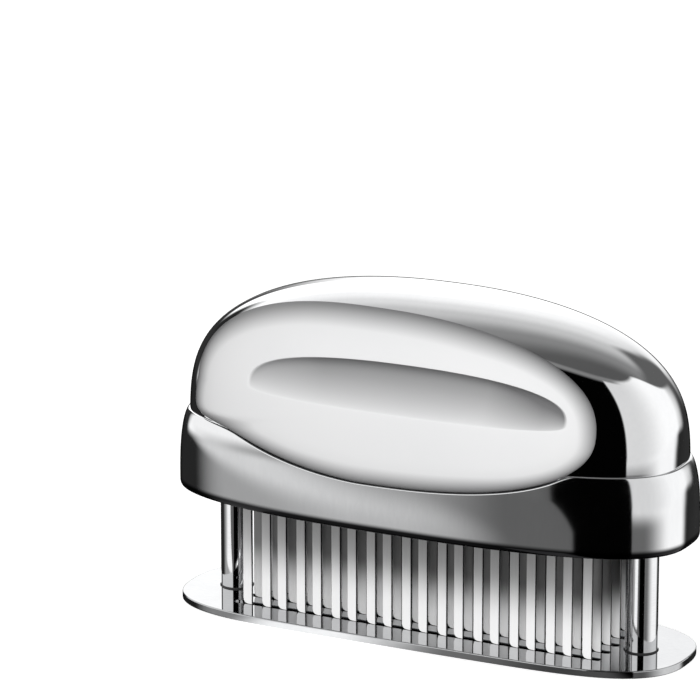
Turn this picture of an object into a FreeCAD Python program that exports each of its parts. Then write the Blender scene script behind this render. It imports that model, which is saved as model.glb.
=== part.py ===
import FreeCAD, Part
import math, os
import Sketcher

# Blade meat tenderizer, hand press with a floating guard plate.
# Frame: millimetres, +Z up, +X along the length, -Y the front.  The origin is
# the centre of the guard plate's underside, where the tool stands.
# Handle group (moves down): upper shell, skirt, blade carrier, blades, clamp,
# bushes, cover, spring cups, screws.  Guard group (stands still): guard plate,
# two hollow guide posts, seal rings, post screws, retaining rings.

V = FreeCAD.Vector
doc = FreeCAD.newDocument("BladeTenderizer")

# ---------------------------------------------------------------- dimensions
sheet = doc.addObject("Spreadsheet::Sheet", "Dims")
CELLS = [
    # guard plate
    ("plate_half_len", 75.0), ("plate_half_wid", 23.3), ("plate_thick", 2.1),
    ("plate_exp_len", 5.31), ("plate_exp_wid", 2.51), ("plate_edge", 0.3),
    ("slot_half_len", 55.2), ("slot_rad", 1.2),
    # guide posts
    ("post_x", 61.28), ("post_rad", 4.45), ("post_top", 44.4), ("post_bore", 3.5),
    ("post_plug_top", 12.0), ("post_thread", 2.0), ("post_thread_top", 10.0),
    ("clip_low", 42.02), ("clip_high", 42.92), ("clip_groove", 3.95), ("clip_rad", 5.3),
    ("ring_rad", 4.75), ("ring_high", 0.4),
    ("pscrew_head", 3.9), ("pscrew_cone", 1.9), ("pscrew_shank", 1.98), ("pscrew_top", 9.0),
    ("pscrew_hex", 1.25), ("pscrew_hex_deep", 1.3),
    # blades
    ("row_pitch", 6.4), ("twin_pitch", 10.71), ("leg_pitch", 5.81), ("leg_wid", 2.55),
    ("leg_thick", 0.9), ("blade_tip", 1.9), ("blade_top", 41.0), ("bridge_low", 39.6),
    ("tip_rise", 1.7), ("tip_in", 0.9), ("row_half", 52.375),
    # carrier, clamp, cover
    ("car_low", 37.0), ("car_high", 41.0), ("car_half_len", 72.3), ("car_half_wid", 25.3),
    ("hole_wid", 2.8), ("hole_deep", 1.15), ("pocket_wid", 8.6),
    ("clamp_low", 41.05), ("clamp_high", 42.85), ("clamp_half_len", 53.3), ("clamp_half_wid", 17.5),
    ("clamp_corner", 3.0),
    ("cover_low", 34.3), ("cover_high", 35.5), ("cover_half_len", 72.3), ("cover_half_wid", 25.3),
    ("cover_slot_half", 54.3), ("cover_slot_rad", 1.2), ("cover_post_rad", 6.7),
    ("stand_rad", 3.0), ("stand_x", 45.0), ("stand_y", 18.5),
    # bushes
    ("bush_bore", 4.5), ("bush_rad", 6.4), ("bush_flange", 7.3), ("bush_low", 35.2),
    ("bush_high", 41.95), ("bush_fl_low", 41.0),
    # screws
    ("cs_x", 30.0), ("cs_y", 20.3), ("cs_shank", 1.35), ("cs_top", 50.0), ("cs_head", 2.5),
    ("cs_head_low", 35.65), ("boss_rad", 2.6), ("boss_bore", 1.4), ("boss_low", 41.05),
    ("boss_bore_top", 52.0),
    ("ks_x", 40.0), ("ks_y", 15.35), ("ks_shank", 0.95), ("ks_low", 37.6), ("ks_head", 1.85), ("ks_head_high", 44.1),
    ("vs_shank", 1.2), ("vs_top", 40.0), ("vs_head", 2.3),
    # shells
    ("sk_low", 33.4), ("sk_len", 75.2), ("sk_wid", 28.05), ("sk_in_len", 2.9), ("sk_in_wid", 1.55),
    ("sk_in_from", 36.0), ("sk_in_p", 2.6), ("sk_in_q", 0.588), ("sk_wall", 2.0), ("shoulder", 55.5),
    ("seam_gap", 0.06),
    ("flange_low", 41.05), ("flange_high", 42.55), ("flange_in", 3.9),
    ("dome_high", 95.8), ("dome_len", 72.14), ("dome_wid", 26.41), ("dome_wall", 2.6),
    ("exp_len_low", 2.58), ("exp_wid_low", 2.84), ("exp_len_top", 2.36), ("exp_wid_top", 2.3),
    ("prof_len_p", 2.85), ("prof_len_q", 2.35), ("prof_wid_p", 2.3), ("prof_wid_q", 2.8),
    # grip pads and finger grooves
    ("pad_x", -9.0), ("pad_z", 66.5), ("pad_left", 55.8), ("pad_right", 64.65), ("pad_up", 25.5),
    ("pad_down", 19.9), ("pad_exp_ul", 2.37), ("pad_exp_ur", 2.24), ("pad_exp_ll", 1.7),
    ("pad_exp_lr", 2.4), ("heel_z", 55.7), ("heel_exp", 8.0), ("pad_proud", 3.0), ("pad_roll", 9.0),
    ("pad_roll_exp", 2.3), ("pad_crown", 0.5),
    ("gr_x", 2.5), ("gr_z", 69.6), ("gr_half_len", 46.7), ("gr_up", 10.2), ("gr_down", 2.5),
    ("gr_exp_up", 2.3), ("gr_exp_low", 5.0), ("gr_deep", 4.8), ("gr_crest", 0.35),
    # springs and cups
    ("cup_low", 74.0), ("cup_high", 76.4), ("cup_rad", 4.35), ("cup_bore", 3.3), ("cup_seat", 75.6),
    ("cup_boss", 6.3),
    ("spring_rad", 2.7), ("spring_wire", 0.4), ("spring_low", 12.05), ("spring_turns", 17.0),
]
D = {}
for i, (name, val) in enumerate(CELLS):
    sheet.set("A%d" % (i + 1), name)
    sheet.set("B%d" % (i + 1), repr(float(val)))
    sheet.setAlias("B%d" % (i + 1), name)
    D[name] = float(val)
doc.recompute()


class Q:
    """A size from the sheet, with the expression that binds it."""
    def __init__(self, v, t):
        self.v, self.t = float(v), t
    def __add__(self, o):
        o = q(o); return Q(self.v + o.v, "(%s + %s)" % (self.t, o.t))
    def __sub__(self, o):
        o = q(o); return Q(self.v - o.v, "(%s - %s)" % (self.t, o.t))
    def __mul__(self, o):
        o = q(o); return Q(self.v * o.v, "(%s * %s)" % (self.t, o.t))
    def __truediv__(self, o):
        o = q(o); return Q(self.v / o.v, "(%s / %s)" % (self.t, o.t))
    def __neg__(self):
        return Q(-self.v, "(0 - %s)" % self.t)
    def __abs__(self):
        return self if self.v >= 0 else -self


def q(x):
    if isinstance(x, Q):
        return x
    if isinstance(x, str):
        return Q(D[x], "Dims." + x)
    return Q(x, repr(float(x)))


NODES = []          # (label, object)
MADE = []


def keep(obj, label):
    obj.Label = label
    NODES.append((label, obj))
    return obj


def body(name):
    b = doc.addObject("PartDesign::Body", name)
    b.AllowCompound = True
    return b


def origin(b, role):
    for f in b.Origin.OriginFeatures:
        if f.Role == role:
            return f
    raise RuntimeError(role)


def sketch(b, name, role="XY_Plane", at=None):
    sk = b.newObject("Sketcher::SketchObject", name)
    sk.AttachmentSupport = [(origin(b, role), "")]
    sk.MapMode = "FlatFace"
    if at is not None:
        at = q(at)
        sk.AttachmentOffset = FreeCAD.Placement(V(0, 0, at.v), FreeCAD.Rotation())
        sk.setExpression("AttachmentOffset.Base.z", at.t)
    return sk


def dim(sk, kind, args, val):
    """Add a driving constraint bound to the sheet."""
    val = q(val)
    c = sk.addConstraint(Sketcher.Constraint(kind, *(list(args) + [val.v])))
    sk.setExpression("Constraints[%d]" % c, val.t)
    return c


def pin(sk, g, pos, x, y):
    """Place one point of a geometry by its coordinates."""
    x, y = q(x), q(y)
    if abs(x.v) < 1e-9:
        sk.addConstraint(Sketcher.Constraint("PointOnObject", g, pos, -2))
    else:
        dim(sk, "DistanceX", (-1, 1, g, pos), x)
    if abs(y.v) < 1e-9:
        sk.addConstraint(Sketcher.Constraint("PointOnObject", g, pos, -1))
    else:
        dim(sk, "DistanceY", (-1, 1, g, pos), y)


def circle(sk, x, y, r):
    x, y, r = q(x), q(y), q(r)
    g = sk.addGeometry(Part.Circle(V(x.v, y.v, 0), V(0, 0, 1), r.v), False)
    dim(sk, "Radius", (g,), r)
    pin(sk, g, 3, x, y)
    return g


def poly(sk, pts):
    """Closed polygon whose corners are bound to the sheet."""
    pts = [(q(a), q(b)) for a, b in pts]
    n = len(pts)
    ids = []
    for i in range(n):
        a, b = pts[i], pts[(i + 1) % n]
        ids.append(sk.addGeometry(Part.LineSegment(V(a[0].v, a[1].v, 0), V(b[0].v, b[1].v, 0)), False))
    for i in range(n):
        sk.addConstraint(Sketcher.Constraint("Coincident", ids[i], 2, ids[(i + 1) % n], 1))
    for i in range(n):
        pin(sk, ids[i], 1, pts[i][0], pts[i][1])
    return ids


def rect(sk, x0, y0, x1, y1):
    return poly(sk, [(x0, y0), (x1, y0), (x1, y1), (x0, y1)])


def long_slot(sk, half, y, r):
    """Slot along X, centred on X = 0, with rounded ends."""
    half, y, r = q(half), q(y), q(r)
    cx = half - r
    a = sk.addGeometry(Part.ArcOfCircle(Part.Circle(V(cx.v, y.v, 0), V(0, 0, 1), r.v), -math.pi / 2, math.pi / 2), False)
    b = sk.addGeometry(Part.ArcOfCircle(Part.Circle(V(-cx.v, y.v, 0), V(0, 0, 1), r.v), math.pi / 2, 3 * math.pi / 2), False)
    c = sk.addGeometry(Part.LineSegment(V(cx.v, y.v + r.v, 0), V(-cx.v, y.v + r.v, 0)), False)
    d = sk.addGeometry(Part.LineSegment(V(-cx.v, y.v - r.v, 0), V(cx.v, y.v - r.v, 0)), False)
    sk.addConstraint(Sketcher.Constraint("Tangent", a, 2, c, 1))
    sk.addConstraint(Sketcher.Constraint("Tangent", c, 2, b, 1))
    sk.addConstraint(Sketcher.Constraint("Tangent", b, 2, d, 1))
    sk.addConstraint(Sketcher.Constraint("Tangent", d, 2, a, 1))
    pin(sk, a, 3, cx, y)
    dim(sk, "DistanceX", (-1, 1, b, 3), -cx)
    dim(sk, "Radius", (a,), r)


def oval_points(a, b, n, m, count=64):
    """Points of |x/a|^n + |y/b|^m = 1, evenly turned."""
    out = []
    for i in range(count):
        th = 2 * math.pi * i / count
        c, s = math.cos(th), math.sin(th)
        out.append(V(a * math.copysign(abs(c) ** (2.0 / n), c) if abs(c) > 1e-12 else 0.0,
                     b * math.copysign(abs(s) ** (2.0 / m), s) if abs(s) > 1e-12 else 0.0, 0))
    return out


def oval_curve(a, b, n, m, count=64):
    c = Part.BSplineCurve()
    c.interpolate(Points=oval_points(a, b, n, m, count), PeriodicFlag=True)
    return c


def oval(sk, a, b, n, m):
    return sk.addGeometry(oval_curve(a, b, n, m), False)


def pad(b, sk, length, name, mid=False, rev=False):
    f = b.newObject("PartDesign::Pad", name)
    f.Profile = sk
    length = q(length)
    f.Length = length.v
    f.setExpression("Length", length.t)
    f.Midplane = mid
    f.Reversed = rev
    MADE.append(f)
    return f


def pocket(b, sk, name, length=None, rev=False, mid=False):
    """Cut a sketch; rev cuts towards the sketch's +Z."""
    f = b.newObject("PartDesign::Pocket", name)
    f.Profile = sk
    if length is None:
        f.Type = 1          # through all
        f.Midplane = mid
    else:
        length = q(length)
        f.Length = length.v
        f.setExpression("Length", length.t)
    f.Reversed = rev
    MADE.append(f)
    return f


def revolve(b, sk, name):
    f = b.newObject("PartDesign::Revolution", name)
    f.Profile = sk
    f.ReferenceAxis = (sk, ["V_Axis"])
    f.Angle = 360.0
    MADE.append(f)
    return f


def turned(name, pts, label=None, at=None):
    """Body of revolution about its own Z axis."""
    b = body(name)
    sk = sketch(b, name + "_profile", "XZ_Plane")
    poly(sk, pts)
    doc.recompute()
    revolve(b, sk, name + "_turn")
    doc.recompute()
    if at is not None:
        place(b, at)
    if label:
        keep(b, label)
    return b


def place(b, at):
    x, y, z = [q(c) for c in at]
    b.Placement = FreeCAD.Placement(V(x.v, y.v, z.v), FreeCAD.Rotation())
    b.setExpression("Placement.Base.x", x.t)
    b.setExpression("Placement.Base.y", y.t)
    b.setExpression("Placement.Base.z", z.t)


def pattern(b, feats, name, nx, dx, ny=1, dy=None):
    """Rows and columns of the given features along X and Y."""
    lp = b.newObject("PartDesign::LinearPattern", name)
    lp.Originals = feats
    lp.Direction = (origin(b, "X_Axis"), [""])
    dx = q(dx) * (nx - 1)
    lp.Length = dx.v
    lp.setExpression("Length", dx.t)
    lp.Occurrences = nx
    if ny > 1:
        lp.Direction2 = (origin(b, "Y_Axis"), [""])
        dy = q(dy) * (ny - 1)
        lp.Length2 = dy.v
        lp.setExpression("Length2", dy.t)
        lp.Occurrences2 = ny
    b.Tip = lp
    doc.recompute()
    MADE.append(lp)
    return lp


def cut_check(before, b, what):
    after = b.Shape.Volume
    if not after < before - 1e-3:
        raise RuntimeError(what + " cut nothing")
    return after


# ---------------------------------------------------------------- guard plate
gp = body("guard_plate")
sk = sketch(gp, "plate_outline")
oval(sk, D["plate_half_len"], D["plate_half_wid"], D["plate_exp_len"], D["plate_exp_wid"])
doc.recompute()
pad(gp, sk, "plate_thick", "plate_sheet")
doc.recompute()
vol = gp.Shape.Volume
top_edges, f = [], gp.Tip
for i, e in enumerate(f.Shape.Edges):
    bb = e.BoundBox
    if bb.ZLength < 1e-6 and bb.XLength > 140:
        top_edges.append("Edge%d" % (i + 1))
ch = gp.newObject("PartDesign::Fillet", "plate_rim")
ch.Base = (f, top_edges)
ch.Radius = D["plate_edge"]
ch.setExpression("Radius", "Dims.plate_edge")
MADE.append(ch)
doc.recompute()
sk = sketch(gp, "blade_slots")
for k in range(-2, 3):
    long_slot(sk, "slot_half_len", q("row_pitch") * k, "slot_rad")
doc.recompute()
pocket(gp, sk, "blade_slot_cut", mid=True)
doc.recompute()
vol = cut_check(vol, gp, "blade slots")
sk = sketch(gp, "post_holes")
circle(sk, q("post_x"), 0, q("pscrew_shank") + 0.1)
circle(sk, -q("post_x"), 0, q("pscrew_shank") + 0.1)
doc.recompute()
pocket(gp, sk, "post_hole_cut", mid=True)
doc.recompute()
vol = cut_check(vol, gp, "post holes")
for side, sx in (("left", -q("post_x")), ("right", q("post_x"))):
    sk = sketch(gp, "sink_" + side, "XZ_Plane")
    hr, cn = q("pscrew_head") + 0.05, q("pscrew_cone")
    ids = poly(sk, [(sx, 0.0), (sx + hr, 0.0), (sx + q("pscrew_shank") + 0.05, cn), (sx, cn)])
    doc.recompute()
    gr = gp.newObject("PartDesign::Groove", "sink_cut_" + side)
    gr.Profile = sk
    gr.ReferenceAxis = (sk, ["Edge4"])
    gr.Angle = 360.0
    MADE.append(gr)
    doc.recompute()
    vol = cut_check(vol, gp, "countersink " + side)
keep(gp, "guard_plate")

# ---------------------------------------------------------------- guide posts
for side, sx in (("left", -q("post_x")), ("right", q("post_x"))):
    pr, pb = q("post_rad"), q("post_bore")
    turned("guide_post_" + side, [
        ("post_thread", "plate_thick"), (pr, "plate_thick"),
        (pr, "clip_low"), ("clip_groove", "clip_low"), ("clip_groove", "clip_high"), (pr, "clip_high"),
        (pr, q("post_top") - 0.4), (pr - 0.4, "post_top"), (pb, "post_top"),
        (pb, "post_plug_top"), (q(0.8), "post_plug_top"), (q(0.8), "post_thread_top"),
        ("post_thread", "post_thread_top")], "guide_post_" + side, (sx, 0, 0))
    turned("post_seal_ring_" + side, [
        (pr + 0.02, "plate_thick"), ("ring_rad", "plate_thick"),
        ("ring_rad", q("plate_thick") + q("ring_high") - 0.3), (q("ring_rad") - 0.25, q("plate_thick") + "ring_high"),
        (pr + 0.02, q("plate_thick") + "ring_high")], "post_seal_ring_" + side, (sx, 0, 0))

# Retaining rings, one per post, above the guide bushes: one turned ring and
# its pattern along X.
rr = body("retaining_rings")
sk = sketch(rr, "ring_outline", at=q("clip_low") + 0.03)
circle(sk, -q("post_x"), 0, "clip_rad")
circle(sk, -q("post_x"), 0, q("clip_groove") + 0.02)
doc.recompute()
f1 = pad(rr, sk, q("clip_high") - "clip_low" - 0.06, "ring_sheet")
doc.recompute()
vol = rr.Shape.Volume
sk = sketch(rr, "ring_gap")
rect(sk, -q("post_x") - 1.6, -q("clip_rad") - 0.5, -q("post_x") + 1.6, -2.0)
doc.recompute()
f2 = pocket(rr, sk, "ring_gap_cut", mid=True)
doc.recompute()
cut_check(vol, rr, "ring gap")
pattern(rr, [f1, f2], "ring_pair", 2, q("post_x") * 2)
keep(rr, "retaining_rings")

# Post screws from below, countersunk flush, with a hexagon socket.
ps = body("post_screws")
sk = sketch(ps, "screw_profile", "XZ_Plane")
sx = -q("post_x")
ids = poly(sk, [(sx, 0.08), (sx + q("pscrew_head") - 0.05, 0.08), (sx + "pscrew_shank", q("pscrew_cone") - 0.02),
                (sx + "pscrew_shank", q("pscrew_top") - 0.5), (sx + q("pscrew_shank") - 0.5, "pscrew_top"),
                (sx, "pscrew_top")])
doc.recompute()
f1 = ps.newObject("PartDesign::Revolution", "screw_turn")
f1.Profile = sk
f1.ReferenceAxis = (sk, ["Edge6"])
f1.Angle = 360.0
MADE.append(f1)
doc.recompute()
vol = ps.Shape.Volume
sk = sketch(ps, "screw_socket")
hx = q("pscrew_hex")
poly(sk, [(sx + hx * math.cos(math.radians(60 * k)), hx * math.sin(math.radians(60 * k))) if k % 3 else
          (sx + hx * math.cos(math.radians(60 * k)), 0.0) for k in range(6)])
doc.recompute()
f2 = pocket(ps, sk, "screw_socket_cut", "pscrew_hex_deep", rev=True)
doc.recompute()
cut_check(vol, ps, "screw socket")
pattern(ps, [f1, f2], "screw_pair", 2, q("post_x") * 2)
keep(ps, "post_screws")

# ---------------------------------------------------------------- blades
# Each twin blade is a U: a bridge with two legs, each ground to a slanted tip.
for k in range(5):
    nm = "blade_row_%d" % (k + 1)
    b = body(nm)
    sk = sketch(b, "twin_outline_%d" % (k + 1), "XZ_Plane")
    x0 = -q("row_half")
    w, lp_ = q("leg_wid"), q("leg_pitch")
    tip, rise, tin = q("blade_tip"), q("tip_rise"), q("tip_in")
    low, top = q("bridge_low"), q("blade_top")
    poly(sk, [(x0, top - 0.4), (x0, tip + rise), (x0 + 0.25, tip + 0.75), (x0 + tin, tip + 0.2), (x0 + w, tip),
              (x0 + w, low),
              (x0 + lp_, low), (x0 + lp_, tip + rise), (x0 + lp_ + 0.25, tip + 0.75), (x0 + lp_ + tin, tip + 0.2),
              (x0 + lp_ + w, tip), (x0 + lp_ + w, top - 0.4), (x0 + lp_ + w - 0.4, top), (x0 + 0.4, top)])
    doc.recompute()
    f1 = pad(b, sk, "leg_thick", "twin_blade_%d" % (k + 1), mid=True)
    doc.recompute()
    pattern(b, [f1], "row_of_ten_%d" % (k + 1), 10, "twin_pitch")
    place(b, (0, q("row_pitch") * (k - 2), 0))
    keep(b, nm)

# ---------------------------------------------------------------- blade carrier
bc = body("blade_carrier")
sk = sketch(bc, "carrier_outline", at="car_low")
oval(sk, D["car_half_len"], D["car_half_wid"], D["exp_len_low"], D["exp_wid_low"])
doc.recompute()
pad(bc, sk, q("car_high") - "car_low", "carrier_plate")
doc.recompute()
sk = sketch(bc, "standoffs", at="cover_high")
for sx in (1, -1):
    for sy in (1, -1):
        circle(sk, q("stand_x") * sx, q("stand_y") * sy, "stand_rad")
doc.recompute()
pad(bc, sk, q("car_low") - "cover_high", "carrier_standoffs")
doc.recompute()
vol = bc.Shape.Volume
sk = sketch(bc, "carrier_holes")
for sx in (1, -1):
    circle(sk, q("post_x") * sx, 0, q("bush_rad"))
    for sy in (1, -1):
        circle(sk, q("cs_x") * sx, q("cs_y") * sy, q("cs_shank") + 0.1)
        circle(sk, q("stand_x") * sx, q("stand_y") * sy, q("vs_shank"))
        circle(sk, q("ks_x") * sx, q("ks_y") * sy, q("ks_shank"))
for sy in (1, -1):
    circle(sk, 0, q("ks_y") * sy, q("ks_shank"))
doc.recompute()
pocket(bc, sk, "carrier_hole_cut", mid=True)
doc.recompute()
vol = cut_check(vol, bc, "carrier holes")
sk = sketch(bc, "bridge_pocket", at="bridge_low")
x0 = -q("row_half") - (q("pocket_wid") - "leg_pitch" - "leg_wid") / 2
y0 = -q("row_pitch") * 2
rect(sk, x0, y0 - q("hole_deep") / 2, x0 + "pocket_wid", y0 + q("hole_deep") / 2)
doc.recompute()
f1 = pocket(bc, sk, "bridge_pocket_cut", q("car_high") - "bridge_low" + 0.5, rev=True)
doc.recompute()
vol = cut_check(vol, bc, "bridge pocket")
sk = sketch(bc, "leg_holes")
for dx in (q(0.0), q("leg_pitch")):
    xa = -q("row_half") + dx + (q("leg_wid") - "hole_wid") / 2
    rect(sk, xa, y0 - q("hole_deep") / 2, xa + "hole_wid", y0 + q("hole_deep") / 2)
doc.recompute()
f2 = pocket(bc, sk, "leg_hole_cut", mid=True)
doc.recompute()
vol = cut_check(vol, bc, "leg holes")
pattern(bc, [f1, f2], "blade_seats", 10, "twin_pitch", 5, "row_pitch")
cut_check(vol, bc, "blade seats")
keep(bc, "blade_carrier")

# Clamp plate over the bridges of the blades.
cp = body("blade_clamp_plate")
sk = sketch(cp, "clamp_outline", at="clamp_low")
rect(sk, -q("clamp_half_len"), -q("clamp_half_wid"), "clamp_half_len", "clamp_half_wid")
doc.recompute()
pad(cp, sk, q("clamp_high") - "clamp_low", "clamp_sheet")
doc.recompute()
f = cp.Tip
vert = ["Edge%d" % (i + 1) for i, e in enumerate(f.Shape.Edges) if e.BoundBox.ZLength > 0.5]
fl = cp.newObject("PartDesign::Fillet", "clamp_corners")
fl.Base = (f, vert)
fl.Radius = D["clamp_corner"]
fl.setExpression("Radius", "Dims.clamp_corner")
MADE.append(fl)
doc.recompute()
vol = cp.Shape.Volume
sk = sketch(cp, "clamp_holes")
for sy in (1, -1):
    for sx in (1, 0, -1):
        circle(sk, q("ks_x") * sx, q("ks_y") * sy, q("ks_shank") + 0.1)
# bush flanges reach past the plate's ends
for sx in (1, -1):
    circle(sk, q("post_x") * sx, 0, q("bush_flange") + 0.8)
doc.recompute()
pocket(cp, sk, "clamp_hole_cut", mid=True)
doc.recompute()
cut_check(vol, cp, "clamp holes")
keep(cp, "blade_clamp_plate")

# Cover that closes the underside of the skirt.
cv = body("bottom_cover")
sk = sketch(cv, "cover_outline", at="cover_low")
oval(sk, D["cover_half_len"], D["cover_half_wid"], D["exp_len_low"], D["exp_wid_low"])
doc.recompute()
pad(cv, sk, q("cover_high") - "cover_low", "cover_sheet")
doc.recompute()
vol = cv.Shape.Volume
sk = sketch(cv, "cover_openings")
for k in range(-2, 3):
    long_slot(sk, "cover_slot_half", q("row_pitch") * k, "cover_slot_rad")
doc.recompute()
pocket(cv, sk, "cover_slot_cut", mid=True)
doc.recompute()
vol = cut_check(vol, cv, "cover slots")
sk = sketch(cv, "cover_holes")
for sx in (1, -1):
    circle(sk, q("post_x") * sx, 0, "cover_post_rad")
    for sy in (1, -1):
        circle(sk, q("stand_x") * sx, q("stand_y") * sy, q("vs_shank") + 0.1)
doc.recompute()
pocket(cv, sk, "cover_hole_cut", mid=True)
doc.recompute()
vol = cut_check(vol, cv, "cover holes")
keep(cv, "bottom_cover")

# Guide bushes, flanged, in the carrier.
for side, sx in (("left", -q("post_x")), ("right", q("post_x"))):
    turned("guide_bush_" + side, [
        ("bush_bore", "bush_low"), (q("bush_rad") - 0.3, "bush_low"), ("bush_rad", q("bush_low") + 0.5),
        ("bush_rad", "bush_fl_low"), ("bush_flange", "bush_fl_low"),
        ("bush_flange", q("bush_high") - 0.25), (q("bush_flange") - 0.25, "bush_high"), ("bush_bore", "bush_high")],
        "guide_bush_" + side, (sx, 0, 0))


def screw_group(name, label, pts, spots):
    """Identical screws: one turned body, repeated at each spot."""
    b = turned(name + "_one", pts)
    g = doc.addObject("Part::Compound", name)
    links = []
    for i, (x, y) in enumerate(spots):
        c = doc.addObject("Part::Feature", "%s_%d" % (name, i + 1))
        c.Shape = b.Shape.copy()
        x, y = q(x), q(y)
        c.Placement = FreeCAD.Placement(V(x.v, y.v, 0), FreeCAD.Rotation())
        c.setExpression("Placement.Base.x", x.t)
        c.setExpression("Placement.Base.y", y.t)
        links.append(c)
    g.Links = links
    doc.recompute()
    return keep(g, label)


screw_group("carrier_screws", "carrier_screws", [
    (0.0, q("cs_head_low") + 0.7), (0.9, q("cs_head_low") + 0.7), (0.9, "cs_head_low"),
    (q("cs_head") - 0.4, "cs_head_low"), ("cs_head", q("cs_head_low") + 0.45), ("cs_head", "car_low"),
    ("cs_shank", "car_low"), ("cs_shank", q("cs_top") - 0.8), (0.5, "cs_top"), (0.0, "cs_top")],
    [(q("cs_x") * a, q("cs_y") * b) for a in (1, -1) for b in (1, -1)])
screw_group("clamp_screws", "clamp_screws", [
    (0.0, "ks_low"), (0.5, "ks_low"), ("ks_shank", q("ks_low") + 0.5), ("ks_shank", "clamp_high"),
    ("ks_head", "clamp_high"), ("ks_head", q("ks_head_high") - 0.4), (q("ks_head") - 0.4, "ks_head_high"),
    (0.7, "ks_head_high"), (0.7, q("ks_head_high") - 0.6), (0.0, q("ks_head_high") - 0.6)],
    [(q("ks_x") * a, q("ks_y") * b) for a in (1, 0, -1) for b in (1, -1)])
screw_group("cover_screws", "cover_screws", [
    (0.0, q("cover_low") - 0.35), (0.75, q("cover_low") - 0.35), (0.75, q("cover_low") - 0.85),
    (q("vs_head") - 0.5, q("cover_low") - 0.85), ("vs_head", q("cover_low") - 0.35), ("vs_head", "cover_low"),
    ("vs_shank", "cover_low"), ("vs_shank", q("vs_top") - 0.5), (0.6, "vs_top"), (0.0, "vs_top")],
    [(q("stand_x") * a, q("stand_y") * b) for a in (1, -1) for b in (1, -1)])

# Spring cups under the roof of the upper shell.
for side, sx in (("left", -q("post_x")), ("right", q("post_x"))):
    turned("spring_cup_" + side, [
        ("cup_bore", "cup_low"), ("cup_rad", "cup_low"), ("cup_rad", q("cup_high") - 0.3),
        (q("cup_rad") - 0.3, "cup_high"), (0.0, "cup_high"), (0.0, "cup_seat"), ("cup_bore", "cup_seat")],
        "spring_cup_" + side, (sx, 0, 0))

# Return springs inside the hollow posts: round wire on a helix.
for side, sg in (("left", -1), ("right", 1)):
    hx = doc.addObject("Part::Helix", "spring_line_" + side)
    length = q("cup_seat") - "spring_low" - q("spring_wire") * 2
    pitch = length / "spring_turns"
    hx.Pitch = pitch.v
    hx.Height = length.v
    hx.Radius = D["spring_rad"]
    hx.setExpression("Pitch", pitch.t)
    hx.setExpression("Height", length.t)
    hx.setExpression("Radius", "Dims.spring_rad")
    ci = doc.addObject("Part::Circle", "spring_wire_" + side)
    ci.Radius = D["spring_wire"]
    ci.setExpression("Radius", "Dims.spring_wire")
    ci.Placement = FreeCAD.Placement(V(D["spring_rad"], 0, 0), FreeCAD.Rotation(V(1, 0, 0), 90))
    ci.setExpression("Placement.Base.x", "Dims.spring_rad")
    sw = doc.addObject("Part::Sweep", "return_spring_" + side)
    sw.Sections = [ci]
    sw.Spine = (hx, [])
    sw.Solid = True
    sw.Frenet = True
    doc.recompute()
    place(sw, (q("post_x") * sg, 0, q("spring_low") + "spring_wire"))
    keep(sw, "return_spring_" + side)

# ---------------------------------------------------------------- shells
# The housing is a double curved dome on an oval band.  Neither sketches nor
# primitives give that form, so its sections are splines worked out from the
# sheet, lofted and cut as solids.


def dome_section(z, off=0.0, top=None):
    """Half length, half width and exponents of the upper shell at height z."""
    zs, high = D["shoulder"], D["dome_high"] - off
    t = max(0.0, (z - zs) / (high - zs))
    t = min(t, 1.0)
    a = (D["dome_len"] - off) * (1 - t ** D["prof_len_p"]) ** (1 / D["prof_len_q"])
    b = (D["dome_wid"] - off) * (1 - t ** D["prof_wid_p"]) ** (1 / D["prof_wid_q"])
    n = D["exp_len_low"] + (D["exp_len_top"] - D["exp_len_low"]) * t
    m = D["exp_wid_low"] + (D["exp_wid_top"] - D["exp_wid_low"]) * t
    return a, b, n, m


def ring(z, a, b, n, m, count=48):
    c = Part.BSplineCurve()
    pts = oval_points(a, b, n, m, count)
    for p in pts:
        p.z = z
    c.interpolate(Points=pts, PeriodicFlag=True)
    return Part.Wire([c.toShape()])


def dome_solid(low, off):
    """Upper shell form, grown inwards by off, from height low to the crown."""
    zs, high = D["shoulder"], D["dome_high"] - off
    zz = [low]
    if low < zs - 6:
        zz.append((low + zs) / 2)
    for i in range(0, 15):
        zz.append(zs + (high - zs) * math.sin(math.pi / 2 * (i / 14.0) * 0.965))
    wires = [ring(z, *dome_section(z, off)) for z in zz]
    wires.append(Part.Vertex(V(0, 0, high)))
    s = Part.makeLoft(wires, True, False)
    return s


def band_solid(z0, z1, off):
    """Skirt form between two heights, grown inwards by off: upright at the foot, curving in to meet
    the dome at the shoulder."""
    out, n = [], 4 if z1 < D["sk_in_from"] + 8 else 12
    for i in range(n + 1):
        z = z0 + (z1 - z0) * math.sin(math.pi / 2 * i / n)
        k = min(max((z - D["sk_in_from"]) / (D["shoulder"] - D["sk_in_from"]), 0.0), 0.9985)
        d = 1 - (1 - k ** D["sk_in_p"]) ** D["sk_in_q"]
        a = D["sk_len"] - D["sk_in_len"] * d - off
        b = D["sk_wid"] - D["sk_in_wid"] * d - off
        out.append(ring(z, a, b, D["exp_len_low"], D["exp_wid_low"]))
    return Part.makeLoft(out, True, False)


def dome_y(x, z):
    a, b, n, m = dome_section(z)
    u = 1 - (abs(x) / a) ** n if a > abs(x) else 0.0
    return b * u ** (1 / m) if u > 0 else 0.0


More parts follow.
